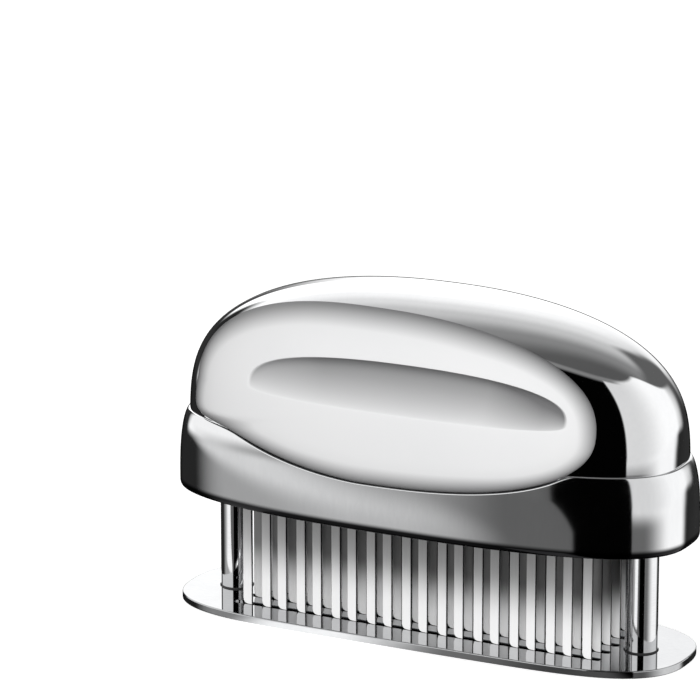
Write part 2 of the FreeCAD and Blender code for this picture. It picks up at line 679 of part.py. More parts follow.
def pad_rho(x, z):
    """0 at the middle of the grip pad, 1 on its outline.  Each quarter of the outline has its own
    sizes; the low left one also has a heel, which runs along the shoulder."""
    dx, dz = x - D["pad_x"], z - D["pad_z"]
    u = abs(dx) / (D["pad_left"] if dx < 0 else D["pad_right"])
    if dz > 0:
        n = D["pad_exp_ul"] if dx < 0 else D["pad_exp_ur"]
        return (u ** n + (dz / D["pad_up"]) ** n) ** (1 / n)
    n = D["pad_exp_ll"] if dx < 0 else D["pad_exp_lr"]
    r = (u ** n + (-dz / D["pad_down"]) ** n) ** (1 / n)
    if dx >= 0:
        return r
    v, n = -dz / (D["pad_z"] - D["heel_z"]), D["heel_exp"]
    h = (u ** n + v ** n) ** (1 / n)
    k = 12.0 / (min(v, 1.0) + 0.01)
    lo, hi = min(r, h), max(r, h, 1e-6)
    return lo * (1 + (lo / hi) ** k) ** (-1 / k)


def pad_rise(x, z):
    """How far the grip pad stands proud of the dome at a place on it."""
    r = pad_rho(x, z)
    if r >= 1:
        return 0.0
    e = 0.01
    gx = (pad_rho(x + e, z) - pad_rho(x - e, z)) / (2 * e)
    gz = (pad_rho(x, z + e) - pad_rho(x, z - e)) / (2 * e)
    s = (1 - r) / max(math.hypot(gx, gz), 1e-4)
    k = D["pad_roll_exp"]
    v = min(s / D["pad_roll"], 1.0)
    return (D["pad_proud"] + D["pad_crown"] * (1 - r * r)) * (1 - (1 - v) ** k) ** (1 / k)


def pad_edges(x):
    """Lowest and highest z of the pad at x."""
    out = []
    for sign in (-1, 1):
        near, far = 0.0, 40.0
        for _ in range(40):
            m = (near + far) / 2
            if pad_rho(x, D["pad_z"] + sign * m) < 1:
                near = m
            else:
                far = m
        out.append(D["pad_z"] + sign * near)
    return out[0], out[1]


def dome_normal(x, z):
    """Outward slope of the front face in Y and Z at a place on it."""
    e = 0.02
    dz = (dome_y(x, z + e) - dome_y(x, z - e)) / (2 * e)
    l = math.hypot(1.0, dz)
    return 1.0 / l, -dz / l          # y outwards, z upwards


def front_point(x, z, extra=0.0):
    """Point of the front face of the upper shell, pad included (y positive)."""
    ny, nz = dome_normal(x, z)
    t = pad_rise(x, z) + extra
    return dome_y(x, z) + t * ny, z + t * nz


def groove_edges(x):
    u = abs((x - D["gr_x"]) / D["gr_half_len"])
    up = D["gr_z"] + D["gr_up"] * max(0.0, 1 - u ** D["gr_exp_up"]) ** (1 / D["gr_exp_up"])
    dn = D["gr_z"] - D["gr_down"] * max(0.0, 1 - u ** D["gr_exp_low"]) ** (1 / D["gr_exp_low"])
    return dn, up


def strip_solid(stations, section):
    """Loft along X of closed sections: a spline and a straight or curved back."""
    wires = []
    for x in stations:
        outer, back = section(x)
        c = Part.BSplineCurve()
        c.interpolate(Points=outer)
        if len(back) > 2:
            d = Part.BSplineCurve()
            d.interpolate(Points=back)
            d = d.toShape()
        else:
            d = Part.LineSegment(back[0], back[1]).toShape()
        wires.append(Part.Wire([c.toShape(), d]))
    return Part.makeLoft(wires, True, False)


def pad_section(sign):
    def f(x):
        dn, up = pad_edges(x)
        pts = []
        n = 22
        for i in range(n + 1):
            # closer together near the edges, where the pad rolls over
            k = 0.5 - 0.5 * math.cos(math.pi * i / n)
            z = dn + (up - dn) * k
            if i in (0, n):
                y, zz = dome_y(x, z) - 0.05, z
            else:
                y, zz = front_point(x, z)
            pts.append(V(x, sign * y, zz))
        return pts, [pts[-1], pts[0]]
    return f


def groove_section(sign):
    def f(x):
        dn, up = groove_edges(x)
        u = abs((x - D["gr_x"]) / D["gr_half_len"])
        end = max(0.0, 1 - u ** 2.6) ** 0.75
        crest = D["gr_crest"]
        pts = []
        n = 14
        for i in range(n + 1):
            k = i / n
            z = dn + (up - dn) * k
            w = 2 * k - 1
            y, zz = front_point(x, z)
            ny, nz = dome_normal(x, z)
            # a steep roof above the crest, a long floor below it
            if w > crest:
                d = 1 - ((w - crest) / (1 - crest)) ** 2.2
            else:
                d = 1 - ((crest - w) / (1 + crest)) ** 1.6
            d *= D["gr_deep"] * end
            pts.append(V(x, sign * (y - d * 1.0), zz))
        back = [pts[-1], V(x, pts[-1].y + sign * 4.0, pts[-1].z + 1.2),
                V(x, pts[0].y + sign * 6.0, (pts[0].z + pts[-1].z) / 2 - 0.5),
                V(x, pts[0].y + sign * 4.0, pts[0].z - 1.2), pts[0]]
        wires = [back[0], back[1], back[2], back[3], back[4]]
        return pts, wires
    return f


def seam_z(x):
    """Height of the seam between upper shell and skirt."""
    if x <= D["pad_x"] - D["pad_left"] or x >= D["pad_x"] + D["pad_right"]:
        return D["shoulder"]
    # soft minimum, so that the seam runs smoothly out of the shoulder
    a, b, r = D["shoulder"], pad_edges(x)[0], 1.8
    h = max(r - abs(a - b), 0.0) / r
    return min(a, b) - h * h * r * 0.25


def seam_prism(shift, up):
    """Block below (or above) the seam line, right through in Y."""
    x0, x1 = D["pad_x"] - D["pad_left"] - 1.0, D["pad_x"] + D["pad_right"] + 1.0
    pts, n = [], 60
    for i in range(n + 1):
        x = x0 + (x1 - x0) * i / n
        pts.append(V(x, -60, seam_z(x) + shift))
    c = Part.BSplineCurve()
    c.interpolate(Points=pts)
    L, far = 90.0, 130.0 if up else 0.0
    e = [Part.LineSegment(V(-L, -60, pts[0].z), pts[0]).toShape(), c.toShape(),
         Part.LineSegment(pts[-1], V(L, -60, pts[-1].z)).toShape(),
         Part.LineSegment(V(L, -60, pts[-1].z), V(L, -60, far)).toShape(),
         Part.LineSegment(V(L, -60, far), V(-L, -60, far)).toShape(),
         Part.LineSegment(V(-L, -60, far), V(-L, -60, pts[0].z)).toShape()]
    return Part.Face(Part.Wire(e)).extrude(V(0, 120, 0))


def say(name, s):
    print("%-22s valid %s solids %d volume %.0f" % (name, s.isValid(), len(s.Solids), s.Volume), flush=True)


low = D["pad_z"] - D["pad_down"] - 3.0
outer = dome_solid(low, 0.0)
inner = dome_solid(low - 2.0, D["dome_wall"])
say("dome", outer)
stations = [D["pad_x"] + (D["pad_left"] if s < 0 else D["pad_right"]) * math.sin(math.pi / 2 * s) for s in
            (-0.93, -0.85, -0.75, -0.62, -0.48, -0.34, -0.2, -0.07, 0.07, 0.2, 0.34, 0.48, 0.62, 0.75, 0.85, 0.93)]
pads = [strip_solid(stations, pad_section(sign)) for sign in (-1, 1)]
form = outer.fuse(pads)
say("dome with pads", form)
gl = D["gr_half_len"]
gst = [D["gr_x"] + gl * math.sin(math.pi / 2 * s) for s in
       (-0.92, -0.8, -0.66, -0.5, -0.33, -0.16, 0.0, 0.16, 0.33, 0.5, 0.66, 0.8, 0.92)]
grooves = [strip_solid(gst, groove_section(sign)) for sign in (-1, 1)]
before = form.Volume
form = form.cut(grooves + [seam_prism(D["seam_gap"], False)])
say("grooves and seam cut", form)
if not form.Volume < before:
    raise RuntimeError("the grooves cut nothing")
# The spring cups sit in blind bores, which run a little way into the end walls.
cup_bores = [Part.makeCylinder(D["cup_rad"], D["cup_high"] - D["cup_low"] + 1,
                               V(sx * D["post_x"], 0, D["cup_low"] - 1)) for sx in (1, -1)]
shell = form.cut([inner] + cup_bores)
say("hollowed", shell)
# Screw bosses hang from the roof; spring cup bosses fill the roof's ends.
# They are trimmed just inside the wall, so that nothing shows outside.
trim = dome_solid(D["boss_low"] - 1.0, D["dome_wall"] - 0.3)
bosses, bores = [], []
for sx in (1, -1):
    for sy in (1, -1):
        bosses.append(Part.makeCylinder(D["boss_rad"], 50, V(sx * D["cs_x"], sy * D["cs_y"], D["boss_low"])))
        bores.append(Part.makeCylinder(D["boss_bore"], D["boss_bore_top"] - D["boss_low"] + 1,
                                       V(sx * D["cs_x"], sy * D["cs_y"], D["boss_low"] - 1)))
    bosses.append(Part.makeCylinder(D["cup_boss"], 20, V(sx * D["post_x"], 0, D["cup_low"] + 0.5)))
bosses = Part.makeCompound(bosses).cut(bores + cup_bores).common(trim)
shell = shell.fuse(bosses.Solids)
say("upper shell", shell)
us = doc.addObject("Part::Feature", "upper_shell")
us.Shape = shell
us.Placement = FreeCAD.Placement(V(0, 0, 0), FreeCAD.Rotation())
keep(us, "upper_shell")

# Skirt: the band with the seam's wave along its upper edge and an inner
# flange that the carrier pulls against.
band = band_solid(D["sk_low"], D["shoulder"], 0.0)
hole = band_solid(D["sk_low"] - 1.0, D["shoulder"] + 1.0, D["sk_wall"])
fl_out = band_solid(D["flange_low"], D["flange_high"], D["sk_wall"] - 0.3)
fl_in = band_solid(D["flange_low"] - 1, D["flange_high"] + 1, D["flange_in"])
skirt = band.cut(hole).cut(seam_prism(0.0, True))
skirt = skirt.fuse(fl_out.cut(fl_in))
say("skirt", skirt)
ss = doc.addObject("Part::Feature", "skirt_shell")
ss.Shape = skirt
ss.Placement = FreeCAD.Placement(V(0, 0, 0), FreeCAD.Rotation())
keep(ss, "skirt_shell")

# ---------------------------------------------------------------- checks, output
doc.recompute()
bad = []
for o in doc.Objects:
    for st in o.State:
        if st in ("Invalid", "Error"):
            bad.append("%s is %s" % (o.Name, st))
for label, o in NODES:
    s = o.Shape
    if s.isNull() or not s.isValid():
        bad.append("%s has no valid shape" % label)
    elif not s.Solids:
        bad.append("%s holds no solid" % label)
if bad:
    raise RuntimeError("; ".join(bad))
os.makedirs("parts", exist_ok=True)
for label, o in NODES:
    o.Shape.exportStep(os.path.join("parts", label + ".step"))
    bb = o.Shape.BoundBox
    print("%-22s solids %3d vol %9.1f  x %.2f..%.2f y %.2f..%.2f z %.2f..%.2f" % (
        label, len(o.Shape.Solids), o.Shape.Volume, bb.XMin, bb.XMax, bb.YMin, bb.YMax, bb.ZMin, bb.ZMax))
print("nodes", len(NODES))
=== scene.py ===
import bpy
import bmesh
import math
import numpy as np
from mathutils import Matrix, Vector


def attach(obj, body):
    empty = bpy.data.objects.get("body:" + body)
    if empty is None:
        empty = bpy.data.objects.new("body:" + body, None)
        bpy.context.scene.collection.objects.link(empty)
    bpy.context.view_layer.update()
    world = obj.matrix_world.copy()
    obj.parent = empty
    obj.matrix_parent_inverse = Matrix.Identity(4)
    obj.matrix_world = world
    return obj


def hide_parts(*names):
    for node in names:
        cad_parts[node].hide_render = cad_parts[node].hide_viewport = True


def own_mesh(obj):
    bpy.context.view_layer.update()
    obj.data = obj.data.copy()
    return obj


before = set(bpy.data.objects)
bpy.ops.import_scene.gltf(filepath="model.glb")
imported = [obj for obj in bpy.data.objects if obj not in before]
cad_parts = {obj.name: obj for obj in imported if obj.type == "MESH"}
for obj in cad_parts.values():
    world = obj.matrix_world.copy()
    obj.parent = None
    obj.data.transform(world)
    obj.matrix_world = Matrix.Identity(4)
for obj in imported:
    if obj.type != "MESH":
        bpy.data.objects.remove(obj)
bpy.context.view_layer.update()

MM = 0.001
scene = bpy.context.scene
scene.view_settings.view_transform = "Standard"
scene.view_settings.look = "None"


# ------------------------------------------------------------ shape of the shells (millimetres, as in the CAD)
SHOULDER, CROWN = 55.5, 95.8
PAD = dict(x=-9.0, z=66.5, left=55.8, right=64.65, up=25.5, down=19.9, ul=2.37, ur=2.24, ll=1.7, lr=2.4,
           heel=55.7, nh=8.0, proud=3.0, roll=9.0, k=2.3, crown=0.5)
GR = dict(x=2.5, z=69.6, a=46.7, up=10.2, down=2.5, n_up=2.3, n_low=5.0, deep=4.8, crest=0.35)
SK = dict(low=33.4, a=75.2, b=28.05, in_a=2.9, in_b=1.55, from_z=36.0, p=2.6, q=0.588, n=2.58, m=2.84, wall=2.0)


def section(z, off=0.0):
    high = CROWN - off
    t = np.clip((z - SHOULDER) / (high - SHOULDER), 0.0, 1.0)
    a = (72.14 - off) * (1 - t ** 2.85) ** (1 / 2.35)
    b = (26.41 - off) * (1 - t ** 2.3) ** (1 / 2.8)
    n = 2.58 + (2.36 - 2.58) * t
    m = 2.84 + (2.3 - 2.84) * t
    return a, b, n, m


def dome_y(x, z):
    a, b, n, m = section(z)
    u = np.where(np.abs(x) < a, 1 - (np.abs(x) / np.maximum(a, 1e-6)) ** n, 0.0)
    return b * np.maximum(u, 0.0) ** (1 / m)


def pad_rho(x, z):
    """0 at the middle of the grip pad, 1 on its outline, with a heel along the shoulder at the low left."""
    dx, dz = np.asarray(x, float) - PAD["x"], np.asarray(z, float) - PAD["z"]
    u = np.abs(dx) / np.where(dx < 0, PAD["left"], PAD["right"])
    w = np.abs(dz) / np.where(dz > 0, PAD["up"], PAD["down"])
    n = np.where(dz > 0, np.where(dx < 0, PAD["ul"], PAD["ur"]), np.where(dx < 0, PAD["ll"], PAD["lr"]))
    r = (u ** n + w ** n) ** (1 / n)
    v = np.abs(dz) / (PAD["z"] - PAD["heel"])
    h = (u ** PAD["nh"] + v ** PAD["nh"]) ** (1 / PAD["nh"])
    k = 12.0 / (np.minimum(v, 1.0) + 0.01)
    lo, hi = np.minimum(r, h), np.maximum(np.maximum(r, h), 1e-6)
    return np.where((dx < 0) & (dz < 0), lo * (1 + (lo / hi) ** k) ** (-1 / k), r)


def reach(x0, z0, c, s, far=90.0):
    """Distance from a point to the pad's outline along each direction."""
    near, far = np.zeros(np.shape(c)), np.full(np.shape(c), far)
    for _ in range(40):
        m = (near + far) / 2
        inside = pad_rho(x0 + m * c, z0 + m * s) < 1
        near, far = np.where(inside, m, near), np.where(inside, far, m)
    return near


def pad_slope(x, z, e=0.3):
    """How fast pad_rho grows per mm, taken over a stretch that evens out its small step at mid height."""
    gx = (pad_rho(x + e, z) - pad_rho(x - e, z)) / (2 * e)
    gz = (pad_rho(x, z + e) - pad_rho(x, z - e)) / (2 * e)
    return np.maximum(np.hypot(gx, gz), 1e-4)


def pad_rise(x, z):
    r = pad_rho(x, z)
    s = (1 - r) / pad_slope(x, z)
    v = np.clip(s / PAD["roll"], 0.0, 1.0)
    k = PAD["k"]
    return (PAD["proud"] + PAD["crown"] * (1 - r * r)) * (1 - (1 - v) ** k) ** (1 / k)


def dome_tilt(x, z):
    e = 0.02
    dz = (dome_y(x, z + e) - dome_y(x, z - e)) / (2 * e)
    l = np.hypot(1.0, dz)
    return 1.0 / l, -dz / l


def groove_place(x, z):
    """Where a place lies in the finger groove: share of its half length, share of its outline, and
    height from -1 at the lower rim to 1 at the upper rim."""
    u = np.abs((x - GR["x"]) / GR["a"])
    w = np.where(z > GR["z"], (z - GR["z"]) / GR["up"], (z - GR["z"]) / GR["down"])
    n = np.where(w > 0, GR["n_up"], GR["n_low"])
    r = (u ** n + np.abs(w) ** n) ** (1 / n)
    up = GR["up"] * np.maximum(0.0, 1 - u ** GR["n_up"]) ** (1 / GR["n_up"])
    dn = GR["down"] * np.maximum(0.0, 1 - u ** GR["n_low"]) ** (1 / GR["n_low"])
    return u, r, np.clip((z - GR["z"] + dn) / np.maximum(up + dn, 1e-6), 0, 1) * 2 - 1


def groove_depth(x, z):
    """Depth of the finger groove: a steep roof, a long floor, and a small round at its rim."""
    u, r, k = groove_place(x, z)
    k0 = GR["crest"]
    roof = 1 - np.clip((k - k0) / (1 - k0), 0, 1) ** 2.2
    sole = 1 - np.clip((k0 - k) / (1 + k0), 0, 1) ** 1.6
    end = np.maximum(0.0, 1 - u ** 2.6) ** 0.75
    inside = GR["deep"] * end * np.where(k > k0, roof, sole)
    d = np.where(r < 1, inside, -12.0 * (r - 1))
    eps = 0.10
    return 0.5 * (d + np.sqrt(d * d + eps * eps)) * np.clip((1.08 - r) / 0.07, 0, 1)


def seam_z(x):
    x = np.asarray(x, float)
    inside = (x > PAD["x"] - PAD["left"]) & (x < PAD["x"] + PAD["right"])
    dn = PAD["z"] - reach(x, np.full(x.shape, PAD["z"]), np.zeros(x.shape), np.full(x.shape, -1.0), 40.0)
    r = 1.8
    h = np.maximum(r - np.abs(SHOULDER - dn), 0.0) / r
    return np.where(inside, np.minimum(SHOULDER, dn) - h * h * r * 0.25, SHOULDER)


def sgnpow(v, p):
    return np.sign(v) * np.abs(v) ** p


def even_angles(a, b, n, m, count):
    """Angles that space points evenly along the superellipse, starting at +X."""
    t = np.linspace(0, 2 * math.pi, 20001)
    x, y = a * sgnpow(np.cos(t), 2 / n), b * sgnpow(np.sin(t), 2 / m)
    s = np.concatenate([[0], np.cumsum(np.hypot(np.diff(x), np.diff(y)))])
    return np.interp(np.arange(count) / count * s[-1], s, t)


# ------------------------------------------------------------ mesh helpers
def mesh_object(name, verts, faces, smooth=True):
    me = bpy.data.meshes.new(name)
    me.from_pydata([tuple(v) for v in np.asarray(verts, float) * MM], [], [tuple(int(i) for i in f) for f in faces])
    me.validate()
    me.update()
    if smooth:
        me.polygons.foreach_set("use_smooth", [True] * len(me.polygons))
    ob = bpy.data.objects.new(name, me)
    scene.collection.objects.link(ob)
    return ob


def grid_faces(rows, cols, base=0, wrap=True, flip=False):
    """Quads between rows of cols points each; wrap closes each row on itself."""
    out = []
    last = cols if wrap else cols - 1
    for i in range(rows - 1):
        for j in range(last):
            k = (j + 1) % cols
            f = (base + i * cols + j, base + i * cols + k, base + (i + 1) * cols + k, base + (i + 1) * cols + j)
            out.append(f[::-1] if flip else f)
    return out


def paint(ob, name, values):
    at = ob.data.attributes.new(name, "FLOAT", "POINT")
    at.data.foreach_set("value", np.asarray(values, np.float32))


# ------------------------------------------------------------ node helpers
class Tree:
    def __init__(self, tree):
        self.t = tree
        tree.nodes.clear()

    def node(self, kind, **props):
        n = self.t.nodes.new(kind)
        for k, v in props.items():
            setattr(n, k, v)
        return n

    def put(self, socket, value):
        if isinstance(value, bpy.types.NodeSocket):
            self.t.links.new(value, socket)
        elif value is not None:
            socket.default_value = value

    def math(self, op, a, b=None, c=None, clamp=False):
        n = self.node("ShaderNodeMath", operation=op, use_clamp=clamp)
        for s, v in zip(n.inputs, (a, b, c)):
            self.put(s, v)
        return n.outputs[0]

    def ramp01(self, v, lo, hi, out0=0.0, out1=1.0):
        n = self.node("ShaderNodeMapRange", interpolation_type="SMOOTHSTEP")
        self.put(n.inputs["Value"], v)
        for key, val in (("From Min", lo), ("From Max", hi), ("To Min", out0), ("To Max", out1)):
            self.put(n.inputs[key], val)
        return n.outputs["Result"]

    def linear(self, v, lo, hi, out0=0.0, out1=1.0):
        n = self.node("ShaderNodeMapRange", interpolation_type="LINEAR")
        self.put(n.inputs["Value"], v)
        for key, val in (("From Min", lo), ("From Max", hi), ("To Min", out0), ("To Max", out1)):
            self.put(n.inputs[key], val)
        return n.outputs["Result"]

    def window(self, v, lo, hi, soft_lo, soft_hi=None):
        soft_hi = soft_lo if soft_hi is None else soft_hi
        up = self.ramp01(v, lo - soft_lo, lo + soft_lo)
        down = self.ramp01(v, hi - soft_hi, hi + soft_hi, 1.0, 0.0)
        return self.math("MULTIPLY", up, down)

    def lay(self, under, over, mask):
        """under where mask is 0, over where it is 1."""
        d = self.math("SUBTRACT", over, under)
        return self.math("MULTIPLY_ADD", d, mask, under)

    def curve(self, v, lo, hi, stops, kind="EASE"):
        """Grey ramp of v from lo to hi: stops are (v, value)."""
        f = self.linear(v, lo, hi)
        n = self.node("ShaderNodeValToRGB")
        e = n.color_ramp.elements
        n.color_ramp.interpolation = kind
        while len(e) < len(stops):
            e.new(0.5)
        for el, (p, val) in zip(e, stops):
            el.position = (p - lo) / (hi - lo)
        for el, (p, val) in zip(e, stops):
            el.color = (val, val, val, 1)
        self.put(n.inputs[0], f)
        bw = self.node("ShaderNodeRGBToBW")
        self.put(bw.inputs[0], n.outputs[0])
        return bw.outputs[0]

    def mix(self, a, b, f):
        n = self.node("ShaderNodeMix", data_type="RGBA")
        self.put(n.inputs[0], f)
        self.put(n.inputs[6], a if not isinstance(a, tuple) else (*a, 1.0))
        self.put(n.inputs[7], b if not isinstance(b, tuple) else (*b, 1.0))
        return n.outputs[2]

    def noise(self, vec, scale, detail=3.0, rough=0.5, lac=2.0):
        n = self.node("ShaderNodeTexNoise")
        self.put(n.inputs["Vector"], vec)
        n.inputs["Scale"].default_value = scale
        n.inputs["Detail"].default_value = detail
        n.inputs["Roughness"].default_value = rough
        n.inputs["Lacunarity"].default_value = lac
        return n.outputs[0]

    def stretched(self, scale, rot=(0, 0, 0)):
        tc = self.node("ShaderNodeTexCoord")
        m = self.node("ShaderNodeMapping")
        self.put(m.inputs["Vector"], tc.outputs["Object"])
        m.inputs["Scale"].default_value = scale
        m.inputs["Rotation"].default_value = rot
        return m.outputs[0]


def material(name):
    m = bpy.data.materials.new(name)
    m.use_nodes = True
    t = Tree(m.node_tree)
    out = t.node("ShaderNodeOutputMaterial")
    b = t.node("ShaderNodeBsdfPrincipled")
    t.put(out.inputs["Surface"], b.outputs[0])
    return m, t, b


def metal(name, light, dark, rough, grain, grain_scale, bump=0.0, smudge=30.0, smudge_amount=0.5, rim_shade=None, scratches=0.0):
    """A metal: colour varies with soft smudges and fine grain, roughness follows both, grain and a few
    fine scratches stand in the bump.  grain is the stretch of the grain along X, Y and Z."""
    m, t, b = material(name)
    plain = t.stretched((1, 1, 1))
    fine = t.noise(t.stretched(grain), grain_scale, 4.0, 0.6)
    soft = t.noise(plain, smudge, 4.0, 0.55)
    cloud = t.ramp01(soft, 0.35, 0.68)
    tone = t.math("ADD", t.math("MULTIPLY", cloud, smudge_amount),
                  t.math("MULTIPLY", t.linear(fine, 0.3, 0.7), 1.0 - smudge_amount), clamp=True)
    colour = t.mix(dark, light, tone)
    r = t.linear(tone, 0.0, 1.0, rough[1], rough[0])
    height = fine
    if scratches:
        v = t.node("ShaderNodeTexVoronoi", feature="DISTANCE_TO_EDGE")
        t.put(v.inputs["Vector"], t.stretched((1, 6, 2.2), (0.3, 0.2, 0.9)))
        v.inputs["Scale"].default_value = 60.0
        line = t.ramp01(v.outputs["Distance"], 0.0, 0.012, 1.0, 0.0)
        line = t.math("MULTIPLY", line, t.ramp01(t.noise(plain, 90.0, 2.0), 0.55, 0.75))
        r = t.math("MULTIPLY_ADD", line, scratches, r)
        height = t.math("SUBTRACT", height, t.math("MULTIPLY", line, 0.6))
    # painted shade handed in by the caller, such as the darkening at the skirt's foot
    if rim_shade is not None:
        colour = rim_shade(t, colour)
    t.put(b.inputs["Base Color"], colour)
    t.put(b.inputs["Roughness"], r)
    b.inputs["Metallic"].default_value = 1.0
    if bump:
        bn = t.node("ShaderNodeBump")
        bn.inputs["Strength"].default_value = 1.0
        bn.inputs["Distance"].default_value = bump
        t.put(bn.inputs["Height"], height)
        t.put(b.inputs["Normal"], bn.outputs[0])
    return m


def plastic(name, light, dark, rough, scale=900.0, bump=2e-5, smudge=40.0, metallic=0.0, specular=0.5):
    m, t, b = material(name)
    plain = t.stretched((1, 1, 1))
    fine = t.noise(plain, scale, 3.0, 0.6)
    soft = t.noise(plain, smudge, 3.0)
    tone = t.math("ADD", t.math("MULTIPLY", t.ramp01(soft, 0.35, 0.65), 0.6), t.math("MULTIPLY", fine, 0.4), clamp=True)
    t.put(b.inputs["Base Color"], t.mix(dark, light, tone))
    t.put(b.inputs["Roughness"], t.linear(tone, 0, 1, rough[1], rough[0]))
    b.inputs["Metallic"].default_value = metallic
    b.inputs["Specular IOR Level"].default_value = specular
    bn = t.node("ShaderNodeBump")
    bn.inputs["Distance"].default_value = bump
    t.put(bn.inputs["Height"], fine)
    t.put(b.inputs["Normal"], bn.outputs[0])
    return m


# ------------------------------------------------------------ materials
chrome = metal("chrome_mirror", (0.93, 0.935, 0.94), (0.86, 0.865, 0.875), (0.015, 0.05), (1, 1, 1), 700.0,
               bump=2.0e-7, smudge=26.0, smudge_amount=0.7, scratches=0.05)
def skirt_foot_shade(t, colour):
    """Painted shade at the foot: the colour darkens to near black below the polished wall."""
    tc = t.node("ShaderNodeTexCoord")
    sp = t.node("ShaderNodeSeparateXYZ")
    t.put(sp.inputs[0], tc.outputs["Object"])
    return t.mix((0.02, 0.02, 0.021), colour, t.ramp01(sp.outputs["Z"], 0.0347, 0.0361))


skirt_mat = metal("chrome_skirt", (0.92, 0.925, 0.93), (0.84, 0.845, 0.855), (0.03, 0.08), (1, 1, 0.25), 900.0,
                  bump=3.0e-7, smudge=22.0, smudge_amount=0.7, scratches=0.05, rim_shade=skirt_foot_shade)
plate_mat = metal("mirror_plate", (0.58, 0.585, 0.59), (0.49, 0.495, 0.505), (0.02, 0.06), (0.3, 1.6, 1), 1400.0,
                  bump=3.0e-7, smudge=35.0, smudge_amount=0.6, scratches=0.08)
post_mat = metal("ground_post", (0.91, 0.915, 0.92), (0.80, 0.805, 0.815), (0.03, 0.09), (0.3, 0.3, 3.0), 1500.0,
                 bump=4.0e-7, smudge=60.0, smudge_amount=0.45, scratches=0.06)
spring_mat = metal("drawn_wire", (0.62, 0.63, 0.64), (0.40, 0.41, 0.42), (0.18, 0.34), (1, 1, 1), 1600.0,
                   bump=2.0e-6, smudge=120.0)
screw_mat = metal("machined_screw", (0.66, 0.67, 0.68), (0.44, 0.45, 0.46), (0.20, 0.38), (1, 1, 3), 1300.0,
                  bump=2.0e-6, smudge=150.0)
inner_mat = metal("brushed_inner", (0.68, 0.69, 0.70), (0.50, 0.51, 0.52), (0.24, 0.42), (0.12, 2.5, 1), 900.0,
                  bump=3.0e-6, smudge=45.0)
cover_mat = metal("brushed_cover", (0.64, 0.65, 0.66), (0.44, 0.45, 0.46), (0.22, 0.42), (0.10, 2.6, 1), 900.0,
                  bump=3.0e-6, smudge=35.0, scratches=0.15)


def blade_metal(name, stops, painted_white_end, rough, white):
    """Rolled strip, polished at the top, with painted light and shade over its height, and painted white, rough and not
    metallic, towards the ground cutting end.
    stops: painted brightness of the strip over its height; painted_white_end: heights between which the painted white
    fades out."""
    m, t, b = material(name)
    grain = t.noise(t.stretched((3.0, 3.0, 0.10)), 1100.0, 4.0, 0.6)
    soft = t.noise(t.stretched((1, 1, 1)), 70.0, 4.0, 0.55)
    tone = t.math("ADD", t.math("MULTIPLY", t.ramp01(soft, 0.35, 0.68), 0.35),
                  t.math("MULTIPLY", t.linear(grain, 0.3, 0.7), 0.65), clamp=True)
    tc = t.node("ShaderNodeTexCoord")
    sp = t.node("ShaderNodeSeparateXYZ")
    t.put(sp.inputs[0], tc.outputs["Object"])
    z = t.math("ADD", sp.outputs["Z"], t.math("MULTIPLY", soft, 0.0012))
    # painted light and shade: the strip's brightness follows the stops over its height
    grey = t.math("MULTIPLY", t.curve(z, 0.0, 0.042, stops), t.linear(tone, 0, 1, 0.90, 1.0))
    strip = t.node("ShaderNodeCombineColor")
    for i in range(3):
        t.put(strip.inputs[i], grey)
    # painted light: the strip turns white towards the cutting end
    end = t.ramp01(z, painted_white_end[0], painted_white_end[1], 1.0, 0.0)
    t.put(b.inputs["Base Color"], t.mix(strip.outputs[0], (white, white, white * 1.003), end))
    t.put(b.inputs["Roughness"], t.lay(t.linear(tone, 0, 1, rough[1], rough[0]), 0.45, end))
    t.put(b.inputs["Metallic"], t.math("SUBTRACT", 1.0, end))
    b.inputs["Specular IOR Level"].default_value = 0.3
    bn = t.node("ShaderNodeBump")
    bn.inputs["Distance"].default_value = 1.0e-6
    t.put(bn.inputs["Height"], grain)
    t.put(b.inputs["Normal"], bn.outputs[0])
    return m


# front and back rows: painted light, brighter towards the ground end; inner rows: painted shade, darkest in the middle
# and upper part
blade_mat = blade_metal("ground_blade", [(0.0, 0.96), (0.016, 0.85), (0.034, 0.46)], (0.009, 0.024), (0.30, 0.38), 0.97)
blade_inner_mat = blade_metal("inner_blade_light_and_shade", [(0.0, 0.92), (0.009, 0.70), (0.019, 0.26), (0.028, 0.22), (0.034, 0.36)],
                              (0.005, 0.019), (0.30, 0.38), 0.97)
# painted shade: the blade sides are near black, standing in for the shade beside each blade
blade_side_mat = metal("blade_side_painted_shade", (0.05, 0.05, 0.051), (0.02, 0.02, 0.021), (0.30, 0.45), (2.0, 2.0, 0.3), 1500.0,
                       bump=2.0e-6, smudge=160.0)
carrier_mat = plastic("moulded_carrier", (0.060, 0.060, 0.066), (0.028, 0.028, 0.032), (0.35, 0.55))
bush_mat = plastic("moulded_bush", (0.80, 0.79, 0.76), (0.66, 0.65, 0.61), (0.30, 0.48))
rubber_mat = plastic("seal_rubber", (0.035, 0.035, 0.036), (0.012, 0.012, 0.013), (0.45, 0.7), 1500.0, 3e-5)


